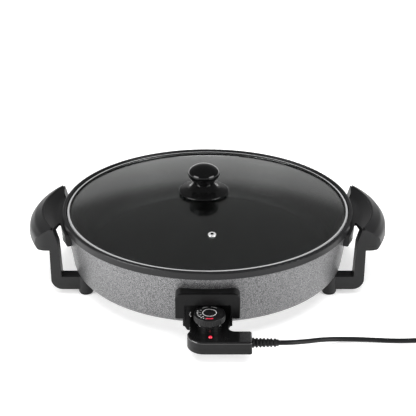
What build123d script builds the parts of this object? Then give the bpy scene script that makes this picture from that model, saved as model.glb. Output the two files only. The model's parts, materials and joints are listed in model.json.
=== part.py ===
"""Round electric party pan: a deep non-stick pan with a glass lid, two standing side handles
and a plug-in thermostat controller on a mains cord.

Millimetres, +Z up, the table is z = 0.  The pan's own axis stands at y = PAN_Y, so that the
origin is the middle of the whole footprint.
"""
from build123d import *
import math
import os

os.makedirs("parts", exist_ok=True)

# ------------------------------------------------------------------ driving dimensions
RIM_R = 210.0               # outside of the pan's black rim
RIM_Z = 108.0               # top of the rim
BAND_Z = 97.0               # lower edge of the rim band
LEDGE_Z = 99.0              # seat of the lid inside the rim
FLOOR_Z = 40.0              # cooking surface
METAL = 3.5                 # thickness of the pan's cast floor
SHELL_TOP_R = 207.2         # hammertone outer wall, just under the rim
SHELL_LOW_R = 195.5         # the same wall where it turns under the pan
SHELL_Z = 21.0              # underside of the outer wall
SHELL_BEND = 14.0           # bend between wall and underside
SHEET = 1.2                 # sheet thickness of the outer wall

FRONT_REACH = 261.0         # from the pan's axis to the front of the controller
PAN_Y = (FRONT_REACH - RIM_R) / 2

GLASS_R = 201.0             # lid glass
GLASS_SPHERE = 890.0        # radius of the lid's dome
GLASS_TOP = 127.0
GLASS_THICK = 4.0
KNOB_X = -5.5               # the knob stands a little left of the lid's centre
VENT = (6.0, -122.0)        # steam vent, from the pan's axis

GRIP_X = 98.0               # axis about which each grip is curved
GRIP_RIDGE = 142.0          # radius of the grip's top ridge about that axis
GRIP_TOP = 104.3
GRIP_BULGE = (161.5, 76.0)  # where the grip stands out furthest: radius about its axis, height
GRIP_LIP = 70.0             # lower edge of the grip
GRIP_ROUND = 22.0           # outer corners of the grip, seen from above
HANDLE_Y = 76.0             # half length of a handle
LEG_DEEP = 19.0
LEG_X = (208.0, 223.0)      # inner and outer face of a leg
FOOT = (174.5, 69.5)        # feet, from the pan's axis
FOOT_R = 10.5
PAD_H = 3.0

CTRL_X = 2.5                # middle of the plug end of the controller
CTRL_LOW = 17.0
CTRL_HIGH = 35.0
CTRL_MID = (CTRL_LOW + CTRL_HIGH) / 2
CTRL_WALL = 2.0
PLUG_END = -206.0           # y of the controller's plug end, from the pan's axis
PIN_GAP = 15.0              # from the middle to each heating pin
PIN_R = 2.5
PROBE_R = 3.2
DIAL_Y = -226.0
DIAL_R = 20.2
DIAL_Z = 49.0
DIAL_H = 9.0
ARM_END = 57.0
BOOT_Y = -246.5
BOOT_END = 88.0

CORD_R = 3.25
COIL = (345.0, -160.0)      # middle of the stored coil, from the pan's axis
COIL_R = 40.0
PLUG_R = 18.5

# ------------------------------------------------------------------ shared planes and helpers
PAN_AXIS = Axis((0, PAN_Y, 0), (0, 0, 1))


def section_plane(angle):
    """Upright plane through the pan's axis: local x is the radius, local y is the height."""
    turn = math.radians(angle)
    return Plane(
        origin=(0, PAN_Y, 0),
        x_dir=(math.cos(turn), math.sin(turn), 0),
        z_dir=(math.sin(turn), -math.cos(turn), 0),
    )


def radial_plane(angle, radius, height):
    """Upright plane facing away from the pan's axis, at an angle about it."""
    turn = math.radians(angle)
    away = Vector(math.cos(turn), math.sin(turn), 0)
    return Plane(origin=away * radius + Vector(0, PAN_Y, height), z_dir=away)


def level(height):
    """Level plane at a height, with its origin on the pan's axis."""
    return Plane(origin=(0, PAN_Y, height), x_dir=(1, 0, 0), z_dir=(0, 0, 1))


def front_plane(reach):
    """Upright plane facing the front, its local x along X and local y along Z."""
    return Plane(origin=(0, PAN_Y + reach, 0), x_dir=(1, 0, 0), z_dir=(0, -1, 0))


def side_plane(x):
    """Upright plane facing right, its local x along Y from the pan's axis, local y along Z."""
    return Plane(origin=(x, PAN_Y, 0), x_dir=(0, 1, 0), z_dir=(1, 0, 0))


def dome(radius, drop=0.0):
    """Height of the glass at a radius, drop below its top face."""
    return GLASS_TOP - drop - GLASS_SPHERE + math.sqrt(GLASS_SPHERE**2 - radius**2)


SECTION = section_plane(0)

# A solid of the outer wall and all it encloses, used to cut whatever hugs the wall
WALL_GAP = 0.2
with BuildPart() as envelope:
    with BuildSketch(SECTION):
        with BuildLine():
            FilletPolyline(
                (0, SHELL_Z - WALL_GAP),
                (SHELL_LOW_R + WALL_GAP, SHELL_Z - WALL_GAP),
                (SHELL_TOP_R + WALL_GAP, BAND_Z),
                (0, BAND_Z),
                radius=[0, SHELL_BEND, 0, 0],
                close=True,
            )
        make_face()
    revolve(axis=PAN_AXIS)

# ================================================================== the pan
# Cast bowl with its black rim: a ledge inside for the lid, a slot below for the outer wall
BOWL_R = 194.5
SLOT_R = (205.0, 207.9)
SLOT_TOP = 98.6
with BuildPart() as pan_bowl:
    with BuildSketch(SECTION):
        with BuildLine():
            FilletPolyline(
                (0, FLOOR_Z - METAL),
                (BOWL_R - 14.5, FLOOR_Z - METAL),
                (BOWL_R + 3, BAND_Z - 0.5),
                (SLOT_R[0], BAND_Z - 0.5),
                (SLOT_R[0], SLOT_TOP),
                (SLOT_R[1], SLOT_TOP),
                (SLOT_R[1], BAND_Z),
                (RIM_R, BAND_Z),
                (RIM_R, RIM_Z),
                (RIM_R - 5.2, RIM_Z),
                (RIM_R - 5.2, LEDGE_Z),
                (BOWL_R, LEDGE_Z),
                (BOWL_R - 17.5, FLOOR_Z),
                (0, FLOOR_Z),
                radius=[0, 18, 1.5, 0, 0, 0, 0, 0.8, 2.4, 1.6, 0.6, 1.5, 15, 0],
                close=True,
            )
        make_face()
    revolve(axis=PAN_AXIS)
pan_bowl.part.label = "pan_bowl"
export_step(pan_bowl.part, "parts/pan_bowl.step")

# Outer wall: one drawn sheet, open where the heating pins come out
FLANGE_R = 176.0
SHELL_EDGE = 98.3
HANDLE_SCREW_Z = 86.0
HANDLE_SCREW_TURNS = (-14, 14, 166, 194)
GUARD_SCREW = (36.0, 73.0)
COVER_SCREW_R = 180.0
COVER_R = 183.5
INLET_SLOT = (46.0, 13.0)   # opening for the heating pins and the probe
GUARD_HOLE_R = 1.8
HANDLE_HOLE_R = 2.2
FOOT_HOLE_R = 2.3
COVER_HOLE_R = 1.7
THROUGH = 100.0             # depth of a cut that only has to pass through a wall
with BuildPart() as outer_shell:
    with BuildSketch(SECTION):
        with BuildLine():
            FilletPolyline(
                (FLANGE_R, SHELL_Z),
                (SHELL_LOW_R, SHELL_Z),
                (SHELL_TOP_R, SHELL_EDGE),
                (SHELL_TOP_R - SHEET, SHELL_EDGE),
                (SHELL_LOW_R - SHEET, SHELL_Z + SHEET),
                (FLANGE_R, SHELL_Z + SHEET),
                radius=[0, SHELL_BEND, 0, 0, SHELL_BEND - SHEET, 0],
                close=True,
            )
        make_face()
    revolve(axis=PAN_AXIS)
    with BuildSketch(front_plane(-FRONT_REACH)):
        with Locations((CTRL_X, CTRL_MID + 1)):
            RectangleRounded(*INLET_SLOT, 3)
    extrude(amount=-THROUGH, mode=Mode.SUBTRACT)
    with BuildSketch(front_plane(-FRONT_REACH)):
        with Locations((-GUARD_SCREW[0], GUARD_SCREW[1]), GUARD_SCREW):
            Circle(GUARD_HOLE_R)
    extrude(amount=-THROUGH, mode=Mode.SUBTRACT)
    for turn in HANDLE_SCREW_TURNS:
        with BuildSketch(radial_plane(turn, 190, HANDLE_SCREW_Z)):
            Circle(HANDLE_HOLE_R)
        extrude(amount=30, mode=Mode.SUBTRACT)
    with BuildSketch(level(SHELL_Z - 5)):
        with GridLocations(2 * FOOT[0], 2 * FOOT[1], 2, 2):
            Circle(FOOT_HOLE_R)
        with PolarLocations(COVER_SCREW_R, 6):
            Circle(COVER_HOLE_R)
    extrude(amount=15, mode=Mode.SUBTRACT)
outer_shell.part.label = "outer_shell"
export_step(outer_shell.part, "parts/outer_shell.step")

# Sheet cover that closes the pan from below, stiffened by two pressed beads
BEADS_R = (120.0, 60.0)
BEAD_WIDE = 8.0
BEAD = 0.6
with BuildPart() as bottom_cover:
    with BuildSketch(level(SHELL_Z - 1)):
        Circle(COVER_R)
        with PolarLocations(COVER_SCREW_R, 6):
            Circle(COVER_HOLE_R, mode=Mode.SUBTRACT)
    extrude(amount=1)
    with BuildSketch(level(SHELL_Z - 1 - BEAD)):
        for bead_r in BEADS_R:
            with BuildSketch(mode=Mode.PRIVATE) as bead:
                Circle(bead_r)
                Circle(bead_r - BEAD_WIDE, mode=Mode.SUBTRACT)
            add(bead.sketch)
    extrude(amount=BEAD)
bottom_cover.part.label = "bottom_cover"
export_step(bottom_cover.part, "parts/bottom_cover.step")

with BuildPart() as cover_screws:
    with Locations(level(SHELL_Z - 3)):
        with PolarLocations(COVER_SCREW_R, 6):
            Cylinder(3.2, 2, align=(Align.CENTER, Align.CENTER, Align.MIN))
            Cylinder(1.5, 10, align=(Align.CENTER, Align.CENTER, Align.MIN))
cover_screws.part.label = "cover_screws"
export_step(cover_screws.part, "parts/cover_screws.step")

# ------------------------------------------------------------------ heating under the floor
ELEMENT_R = 110.0
ELEMENT_TUBE = 3.5
LEG_END = -188.0
PIN_X = (CTRL_X - PIN_GAP, CTRL_X + PIN_GAP)


def ring_angle(x):
    """Angle about the pan's axis, from the front, where the heating ring crosses x."""
    return math.degrees(math.asin(x / ELEMENT_R))


with BuildPart() as heating_element:
    with BuildSketch(section_plane(-90 + ring_angle(PIN_X[1]))):
        with Locations((ELEMENT_R, CTRL_MID)):
            Circle(ELEMENT_TUBE)
    revolve(axis=PAN_AXIS, revolution_arc=360 - ring_angle(PIN_X[1]) + ring_angle(PIN_X[0]))
    for x in PIN_X:
        leg_start = -ELEMENT_R * math.cos(math.radians(ring_angle(x)))
        with Locations((x, PAN_Y + leg_start, CTRL_MID)):
            Sphere(ELEMENT_TUBE)
        with BuildSketch(front_plane(leg_start)):
            with Locations((x, CTRL_MID)):
                Circle(ELEMENT_TUBE)
        extrude(amount=leg_start - LEG_END)
heating_element.part.label = "heating_element"
export_step(heating_element.part, "parts/heating_element.step")

# Aluminium plate with a grooved ring that presses the element against the floor
SPREAD_TOP = FLOOR_Z - METAL - 0.1
with BuildPart() as heat_spreader:
    with BuildSketch(SECTION):
        with BuildLine():
            Polyline(
                (0, SPREAD_TOP - 2),
                (ELEMENT_R - 9, SPREAD_TOP - 2),
                (ELEMENT_R - 9, CTRL_MID + 1),
                (ELEMENT_R + 9, CTRL_MID + 1),
                (ELEMENT_R + 9, SPREAD_TOP - 2),
                (150, SPREAD_TOP - 2),
                (150, SPREAD_TOP),
                (0, SPREAD_TOP),
                close=True,
            )
        make_face()
        with Locations((ELEMENT_R, CTRL_MID)):
            Circle(ELEMENT_TUBE + 0.1, mode=Mode.SUBTRACT)
    revolve(axis=PAN_AXIS)
    with BuildSketch(front_plane(6 - ELEMENT_R)):
        with Locations((PIN_X[0], CTRL_MID), (PIN_X[1], CTRL_MID)):
            Circle(ELEMENT_TUBE + 0.2)
    extrude(amount=20, mode=Mode.SUBTRACT)
heat_spreader.part.label = "heat_spreader"
export_step(heat_spreader.part, "parts/heat_spreader.step")

# Male heating pins, one on each end of the element
PIN_TIP = -221.0
with BuildPart() as heating_pins:
    with BuildSketch(front_plane(LEG_END)):
        with Locations((PIN_X[0], CTRL_MID), (PIN_X[1], CTRL_MID)):
            Circle(PIN_R)
    extrude(amount=LEG_END - PIN_TIP)
    chamfer(heating_pins.faces().sort_by(Axis.Y)[:2].edges(), 0.8)
heating_pins.part.label = "heating_pins"
export_step(heating_pins.part, "parts/heating_pins.step")

# Blind tube between the pins that takes the controller's probe
SLEEVE_MOUTH = -202.0
SLEEVE_END = -119.4
with BuildPart() as probe_sleeve:
    with BuildSketch(front_plane(SLEEVE_END)):
        with Locations((CTRL_X, CTRL_MID)):
            Circle(PROBE_R + 1.2)
    extrude(amount=SLEEVE_END - SLEEVE_MOUTH)
    with BuildSketch(front_plane(SLEEVE_END - 1.5)):
        with Locations((CTRL_X, CTRL_MID)):
            Circle(PROBE_R + 0.2)
    extrude(amount=SLEEVE_END - SLEEVE_MOUTH, mode=Mode.SUBTRACT)
probe_sleeve.part.label = "probe_sleeve"
export_step(probe_sleeve.part, "parts/probe_sleeve.step")

# Moulded socket on the wall: a back plate that carries the pins, and two cheeks
SOCKET_BACK = -185.0        # y where socket and guard start, before the wall is cut out of them
BEHIND = -180.0             # y behind both, where cuts from the back start
SOCKET_HALF = 32.5
SOCKET_FACE = -203.0
SOCKET_TOP = 64.0
CHEEK_LOW = 28.0
CHEEK_WALL = 3.0
with BuildPart() as inlet_socket:
    with BuildSketch(front_plane(SOCKET_BACK)):
        with BuildLine():
            FilletPolyline(
                (-27, CTRL_LOW + 1),
                (27, CTRL_LOW + 1),
                (SOCKET_HALF, CHEEK_LOW),
                (SOCKET_HALF, SOCKET_TOP),
                (-SOCKET_HALF, SOCKET_TOP),
                (-SOCKET_HALF, CHEEK_LOW),
                radius=[2, 2, 4, 2, 2, 4],
                close=True,
            )
        make_face()
    extrude(amount=SOCKET_BACK - SOCKET_FACE)
    with BuildSketch(front_plane(SOCKET_FACE)):
        with Locations((0, (CHEEK_LOW + SOCKET_TOP) / 2)):
            with GridLocations(2 * SOCKET_HALF - CHEEK_WALL, 0, 2, 1):
                RectangleRounded(CHEEK_WALL, SOCKET_TOP - CHEEK_LOW - 3, 1.2)
    extrude(amount=9)
    add(envelope.part, mode=Mode.SUBTRACT)
    with BuildSketch(front_plane(BEHIND)):
        with Locations((PIN_X[0], CTRL_MID), (PIN_X[1], CTRL_MID)):
            Circle(PIN_R + 0.05)
        with Locations((CTRL_X, CTRL_MID)):
            Circle(PROBE_R + 1.3)
    extrude(amount=40, mode=Mode.SUBTRACT)
inlet_socket.part.label = "inlet_socket"
export_step(inlet_socket.part, "parts/inlet_socket.step")

# Black guard over the socket, hollow behind and open below
GUARD_HALF = 42.3
GUARD_LOW = 43.8
GUARD_TOP = 81.5
GUARD_FACE = -218.0
GUARD_WALL = 3.0
GUARD_BOSS_R = 4.0
GUARD_EDGE = 1.6            # rounding of the guard's front edges
PILOT_R = 1.55              # hole that a 3 mm screw cuts its thread in
MOUTH_HALF = 30.4
MOUTH_TOP = 64.5
with BuildPart() as front_guard:
    with BuildSketch(front_plane(SOCKET_BACK)):
        with BuildLine():
            FilletPolyline(
                (-GUARD_HALF, GUARD_LOW),
                (GUARD_HALF, GUARD_LOW),
                (GUARD_HALF, GUARD_TOP),
                (-GUARD_HALF, GUARD_TOP),
                radius=[2, 2, 9, 9],
                close=True,
            )
        make_face()
    extrude(amount=SOCKET_BACK - GUARD_FACE)
    fillet(front_guard.faces().sort_by(Axis.Y)[0].edges(), GUARD_EDGE)
    with BuildSketch(front_plane(BEHIND)):
        with BuildLine():
            FilletPolyline(
                (-GUARD_HALF + GUARD_WALL, GUARD_LOW - 5),
                (GUARD_HALF - GUARD_WALL, GUARD_LOW - 5),
                (GUARD_HALF - GUARD_WALL, GUARD_TOP - GUARD_WALL),
                (-GUARD_HALF + GUARD_WALL, GUARD_TOP - GUARD_WALL),
                radius=[0, 0, 6, 6],
                close=True,
            )
        make_face()
    extrude(amount=BEHIND - GUARD_FACE - GUARD_WALL, mode=Mode.SUBTRACT)
    with BuildSketch(front_plane(BEHIND)):
        with Locations((0, MOUTH_TOP - 20)):
            RectangleRounded(2 * MOUTH_HALF, 40, 1.5)
    extrude(amount=50, mode=Mode.SUBTRACT)
    with BuildSketch(front_plane(GUARD_FACE + 1)):
        with Locations((-GUARD_SCREW[0], GUARD_SCREW[1]), GUARD_SCREW):
            Circle(GUARD_BOSS_R)
    extrude(amount=-30)
    add(envelope.part, mode=Mode.SUBTRACT)
    with BuildSketch(front_plane(-212)):
        with Locations((-GUARD_SCREW[0], GUARD_SCREW[1]), GUARD_SCREW):
            Circle(PILOT_R)
    extrude(amount=-30, mode=Mode.SUBTRACT)
front_guard.part.label = "front_guard"
export_step(front_guard.part, "parts/front_guard.step")

with BuildPart() as guard_screws:
    with BuildSketch(front_plane(-195.5)):
        with Locations((-GUARD_SCREW[0], GUARD_SCREW[1]), GUARD_SCREW):
            Circle(3)
    extrude(amount=2)
    with BuildSketch(front_plane(-197.5)):
        with Locations((-GUARD_SCREW[0], GUARD_SCREW[1]), GUARD_SCREW):
            Circle(1.5)
    extrude(amount=13.5)
guard_screws.part.label = "guard_screws"
export_step(guard_screws.part, "parts/guard_screws.step")

# ================================================================== the handles
GRIP_SECTION = Plane(origin=(GRIP_X, PAN_Y, 0), x_dir=(1, 0, 0), z_dir=(0, -1, 0))
GRIP_AXIS = Axis((GRIP_X, PAN_Y, 0), (0, 0, 1))
PLATE = (91.0, 95.5)        # height of the plate between the wall and the grip
PLATE_EDGE = ((212.5, 39), (219.5, 73), (219.5, 95), (140, 95), (140, 39))
CHEEK = (78.0, 95.5)        # height of the pad that hugs the wall under the rim
CHEEK_TURN = 22.0
BAR = (8.0, 28.0)           # height of the bar between leg and foot
BAR_END = 168.0             # its inner end, over the foot
LEG_TOP = 216.5             # where the leg meets the grip
GRIP_BLOCK = 150.0          # from the grip's axis to the middle of the block it is cut from
GRIP_DEPTH = 110.0

# Finger space under the grip, between its end blocks
with BuildPart() as finger_space:
    with BuildSketch(GRIP_SECTION):
        with BuildLine():
            FilletPolyline(
                (GRIP_RIDGE - 20, GRIP_LIP - 4),
                (GRIP_BULGE[0] - 6, GRIP_LIP - 4),
                (GRIP_BULGE[0] - 5.5, GRIP_BULGE[1]),
                (GRIP_RIDGE - 2, PLATE[1]),
                (GRIP_RIDGE - 7, PLATE[0]),
                (GRIP_RIDGE - 20, PLATE[0]),
                radius=[0, 0, 3, 2, 0, 0],
                close=True,
            )
        make_face()
    revolve(axis=GRIP_AXIS)
    with BuildSketch(level(0)):
        with Locations((GRIP_X + GRIP_BLOCK, 0)):
            Rectangle(GRIP_DEPTH, 2 * (HANDLE_Y - LEG_DEEP))
    extrude(amount=THROUGH + GRIP_LIP, mode=Mode.INTERSECT)

# The hollow above the plate, up to the ridge of the grip
with BuildPart() as dish:
    with BuildSketch(GRIP_SECTION):
        with BuildLine():
            FilletPolyline(
                (GRIP_RIDGE - 50, PLATE[1]),
                (GRIP_RIDGE - 17, PLATE[1]),
                (GRIP_RIDGE - 3, GRIP_TOP - 1.5),
                (GRIP_RIDGE, GRIP_TOP + 6),
                (GRIP_RIDGE - 50, GRIP_TOP + 6),
                radius=[0, 14, 2, 0, 0],
                close=True,
            )
        make_face()
    revolve(axis=GRIP_AXIS)

with BuildPart() as handle_right:
    with BuildSketch(GRIP_SECTION):
        with BuildLine():
            FilletPolyline(
                (GRIP_RIDGE, GRIP_TOP),
                (GRIP_RIDGE + 11, GRIP_TOP - 7),
                (GRIP_BULGE[0] - 1.2, GRIP_BULGE[1] + 12),
                GRIP_BULGE,
                (GRIP_BULGE[0] - 2, GRIP_LIP),
                (GRIP_RIDGE - 6, GRIP_LIP),
                (GRIP_RIDGE - 6, PLATE[0]),
                (GRIP_RIDGE - 46, PLATE[0]),
                (GRIP_RIDGE - 46, GRIP_TOP),
                radius=[2, 12, 12, 3, 2, 1, 0, 0, 0],
                close=True,
            )
        make_face()
    revolve(axis=GRIP_AXIS)
    with BuildSketch(level(0)) as grip_plan:
        with Locations((GRIP_X, 0)):
            Circle(GRIP_BULGE[0] + 0.5)
        with Locations((GRIP_X + GRIP_BLOCK, 0)):
            Rectangle(GRIP_DEPTH, 2 * HANDLE_Y, mode=Mode.INTERSECT)
        fillet(grip_plan.vertices().sort_by(Axis.X)[-2:], GRIP_ROUND)
    extrude(amount=THROUGH + GRIP_LIP, mode=Mode.INTERSECT)
    add(finger_space.part, mode=Mode.SUBTRACT)
    # the plate stops short of the wall towards both ends
    with BuildSketch(level(GRIP_LIP - 2)):
        with BuildLine():
            Polyline(*PLATE_EDGE, close=True)
        make_face()
        mirror(about=Plane.XZ)
    extrude(amount=40, mode=Mode.SUBTRACT)
    # legs and bars
    for side in (-1, 1):
        with BuildSketch(front_plane(side * (HANDLE_Y - LEG_DEEP / 2))):
            with BuildLine():
                FilletPolyline(
                    (LEG_TOP, GRIP_TOP - 2),
                    (210, CHEEK[0] + 1),
                    (LEG_X[0], BAR[1]),
                    (BAR_END, BAR[1]),
                    (BAR_END, BAR[0]),
                    (LEG_X[1], BAR[0]),
                    (LEG_X[1], 88),
                    (LEG_TOP + 3, GRIP_TOP - 3),
                    radius=[0, 6, 1, 0, 0, 16, 2, 0],
                    close=True,
                )
            make_face()
        extrude(amount=LEG_DEEP / 2, both=True)
    # pad that hugs the wall under the rim
    with BuildSketch(section_plane(-CHEEK_TURN)):
        with BuildLine():
            FilletPolyline(
                (200, CHEEK[0]),
                (213, CHEEK[0]),
                (214, CHEEK[1]),
                (200, CHEEK[1]),
                radius=[0, 3, 0, 0],
                close=True,
            )
        make_face()
    revolve(axis=PAN_AXIS, revolution_arc=2 * CHEEK_TURN)
    # feet
    with BuildSketch(level(PAD_H)):
        with Locations((FOOT[0], -FOOT[1]), FOOT):
            Circle(FOOT_R)
    extrude(amount=26)
    add(dish.part, mode=Mode.SUBTRACT)
    add(envelope.part, mode=Mode.SUBTRACT)
    with BuildSketch(level(SHELL_Z - 1.3)):
        Circle(COVER_R + 0.4)
    extrude(amount=2, mode=Mode.SUBTRACT)
    for turn in (-14, 14):
        with BuildSketch(radial_plane(turn, 200, HANDLE_SCREW_Z)):
            Circle(PILOT_R)
        extrude(amount=11.5, mode=Mode.SUBTRACT)
    with BuildSketch(level(PAD_H)):
        with Locations((FOOT[0], -FOOT[1]), FOOT):
            Circle(4.5)
    extrude(amount=6, mode=Mode.SUBTRACT)
    with BuildSketch(level(PAD_H)):
        with Locations((FOOT[0], -FOOT[1]), FOOT):
            Circle(2.1)
    extrude(amount=30, mode=Mode.SUBTRACT)
handle_right.part.label = "handle_right"
export_step(handle_right.part, "parts/handle_right.step")

with BuildPart() as handle_left:
    mirror(handle_right.part, about=Plane.YZ)
handle_left.part.label = "handle_left"
export_step(handle_left.part, "parts/handle_left.step")

# Screws from inside the outer wall into the pads under the rim
with BuildPart() as handle_screws:
    for turn in HANDLE_SCREW_TURNS:
        with BuildSketch(radial_plane(turn, 200.6, HANDLE_SCREW_Z)):
            Circle(3.2)
        extrude(amount=1.8)
        with BuildSketch(radial_plane(turn, 202.4, HANDLE_SCREW_Z)):
            Circle(1.5)
        extrude(amount=8.6)
handle_screws.part.label = "handle_screws"
export_step(handle_screws.part, "parts/handle_screws.step")

# Screws up through the feet, with nuts inside the pan, and soft pads below
with BuildPart() as foot_screws:
    with BuildSketch(level(PAD_H + 2.5)):
        with GridLocations(2 * FOOT[0], 2 * FOOT[1], 2, 2):
            Circle(4)
    extrude(amount=3.5)
    with BuildSketch(level(PAD_H + 6)):
        with GridLocations(2 * FOOT[0], 2 * FOOT[1], 2, 2):
            Circle(2)
    extrude(amount=24)
foot_screws.part.label = "foot_screws"
export_step(foot_screws.part, "parts/foot_screws.step")

with BuildPart() as foot_nuts:
    with BuildSketch(level(SHELL_Z + 7.4)):
        with GridLocations(2 * FOOT[0], 2 * FOOT[1], 2, 2):
            RegularPolygon(radius=3.5, side_count=6, major_radius=False)
            Circle(2.02, mode=Mode.SUBTRACT)
    extrude(amount=3)
foot_nuts.part.label = "foot_nuts"
export_step(foot_nuts.part, "parts/foot_nuts.step")

with BuildPart() as foot_pads:
    with BuildSketch(level(0)):
        with GridLocations(2 * FOOT[0], 2 * FOOT[1], 2, 2):
            Circle(FOOT_R - 1)
    extrude(amount=PAD_H)
    fillet(foot_pads.edges().group_by(Axis.Z)[0], 1.2)
foot_pads.part.label = "foot_pads"
export_step(foot_pads.part, "parts/foot_pads.step")

# ================================================================== the lid
KNOB_AXIS = Axis((KNOB_X, PAN_Y, 0), (0, 0, 1))
KNOB_SECTION = Plane(origin=(KNOB_X, PAN_Y, 0), x_dir=(1, 0, 0), z_dir=(0, -1, 0))
VENT_NORMAL = Vector(VENT[0], VENT[1], math.sqrt(GLASS_SPHERE**2 - VENT[0]**2 - VENT[1]**2))
VENT_PLANE = Plane(
    origin=(VENT[0], PAN_Y + VENT[1], dome(math.hypot(*VENT))),
    z_dir=VENT_NORMAL,
)
SCREW_BORE = 3.0
VENT_HOLE_R = 4.4
with BuildPart() as lid_glass:
    with BuildSketch(SECTION):
        with BuildLine():
            half = GLASS_R / 2
            ThreePointArc((0, GLASS_TOP), (half, dome(half)), (GLASS_R, dome(GLASS_R)))
            Line((GLASS_R, dome(GLASS_R)), (GLASS_R, dome(GLASS_R, GLASS_THICK)))
            ThreePointArc(
                (GLASS_R, dome(GLASS_R, GLASS_THICK)),
                (half, dome(half, GLASS_THICK)),
                (0, GLASS_TOP - GLASS_THICK),
            )
            Line((0, GLASS_TOP - GLASS_THICK), (0, GLASS_TOP))
        make_face()
    revolve(axis=PAN_AXIS)
    with Locations((KNOB_X, PAN_Y, GLASS_TOP)):
        Cylinder(SCREW_BORE + 1.5, 20, mode=Mode.SUBTRACT)
    with BuildSketch(VENT_PLANE):
        Circle(VENT_HOLE_R)
    extrude(amount=8, both=True, mode=Mode.SUBTRACT)
lid_glass.part.label = "lid_glass"
export_step(lid_glass.part, "parts/lid_glass.step")

# Stainless ring rolled round the edge of the glass
RING_R = 203.5
RING_IN = 198.6
RING_WALL = 2.3             # the wall closes on the edge of the glass
RING_FOOT = 6.0
TOP_LIP = 1.2
LOW_LIP = 0.8
RING_Z = (LEDGE_Z + 0.1, 106.1)
with BuildPart() as lid_ring:
    with BuildSketch(SECTION):
        with BuildLine():
            FilletPolyline(
                (RING_R - RING_FOOT, RING_Z[0]),
                (RING_R, RING_Z[0]),
                (RING_R, RING_Z[1]),
                (RING_IN, RING_Z[1]),
                (RING_IN, RING_Z[1] - TOP_LIP),
                (RING_R - RING_WALL, RING_Z[1] - TOP_LIP),
                (RING_R - RING_WALL, RING_Z[0] + LOW_LIP),
                (RING_R - RING_FOOT, RING_Z[0] + LOW_LIP),
                radius=[0, 1.2, 1.8, 0.5, 0.3, 0.3, 0.3, 0],
                close=True,
            )
        make_face()
    revolve(axis=PAN_AXIS)
lid_ring.part.label = "lid_ring"
export_step(lid_ring.part, "parts/lid_ring.step")

# Steel eyelet of the steam vent, flanged above and below the glass
FLANGE_TOP_R = 5.6
FLANGE_LOW_R = 5.4
EYELET_LOW = 1.2            # how far it stands out below the glass
EYELET_BORE = 2.2
with BuildPart() as vent_eyelet:
    with BuildSketch(VENT_PLANE.offset(0.02)):
        Circle(FLANGE_TOP_R)
    extrude(amount=1.4)
    fillet(vent_eyelet.edges().filter_by(GeomType.CIRCLE).sort_by(Axis.Z)[-1], 1.0)
    with BuildSketch(VENT_PLANE.offset(-GLASS_THICK - EYELET_LOW)):
        Circle(VENT_HOLE_R - 0.1)
    extrude(amount=GLASS_THICK + 2)
    with BuildSketch(VENT_PLANE.offset(-GLASS_THICK - EYELET_LOW)):
        Circle(FLANGE_LOW_R)
    extrude(amount=1.1)
    with BuildSketch(VENT_PLANE.offset(5)):
        Circle(EYELET_BORE)
    extrude(amount=-20, mode=Mode.SUBTRACT)
vent_eyelet.part.label = "vent_eyelet"
export_step(vent_eyelet.part, "parts/vent_eyelet.step")

# Soft washers above and below the glass, and a steel one under the screw head
UNDER_GLASS = GLASS_TOP - GLASS_THICK - 0.2
GASKET_R = 30.0
WASHER_DROP = 2.2           # underside of the washer, below the glass
SCREW_DROP = 5.2            # underside of the screw's head
SCREW_REACH = 11.0          # how far the screw goes into the knob's head
with BuildPart() as knob_gasket:
    with BuildSketch(KNOB_SECTION):
        with BuildLine():
            Polyline(
                (SCREW_BORE, GLASS_TOP + 0.05),
                (GASKET_R, GLASS_TOP + 0.05),
                (GASKET_R, GLASS_TOP + 0.75),
                (SCREW_BORE, GLASS_TOP + 0.95),
                close=True,
            )
        make_face()
    revolve(axis=KNOB_AXIS)
knob_gasket.part.label = "knob_gasket"
export_step(knob_gasket.part, "parts/knob_gasket.step")

with BuildPart() as under_gasket:
    with BuildSketch(level(UNDER_GLASS - 1.2)):
        with Locations((KNOB_X, 0)):
            Circle(11)
            Circle(SCREW_BORE, mode=Mode.SUBTRACT)
    extrude(amount=1.2)
under_gasket.part.label = "under_gasket"
export_step(under_gasket.part, "parts/under_gasket.step")

with BuildPart() as knob_washer:
    with BuildSketch(level(UNDER_GLASS - WASHER_DROP)):
        with Locations((KNOB_X, 0)):
            Circle(9)
            Circle(SCREW_BORE, mode=Mode.SUBTRACT)
    extrude(amount=1.0)
knob_washer.part.label = "knob_washer"
export_step(knob_washer.part, "parts/knob_washer.step")

KNOB_SPLIT = 141.0
SHANK_R = 2.5
with BuildPart() as knob_screw:
    with BuildSketch(level(UNDER_GLASS - SCREW_DROP)):
        with Locations((KNOB_X, 0)):
            Circle(6)
    extrude(amount=3)
    with BuildSketch(level(UNDER_GLASS - SCREW_DROP)):
        with Locations((KNOB_X, 0)):
            Rectangle(9, 1.4)
            Rectangle(1.4, 9)
    extrude(amount=1.6, mode=Mode.SUBTRACT)
    with BuildSketch(level(UNDER_GLASS - WASHER_DROP)):
        with Locations((KNOB_X, 0)):
            Circle(SHANK_R)
    extrude(amount=KNOB_SPLIT + SCREW_REACH - UNDER_GLASS + WASHER_DROP)
knob_screw.part.label = "knob_screw"
export_step(knob_screw.part, "parts/knob_screw.step")

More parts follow.
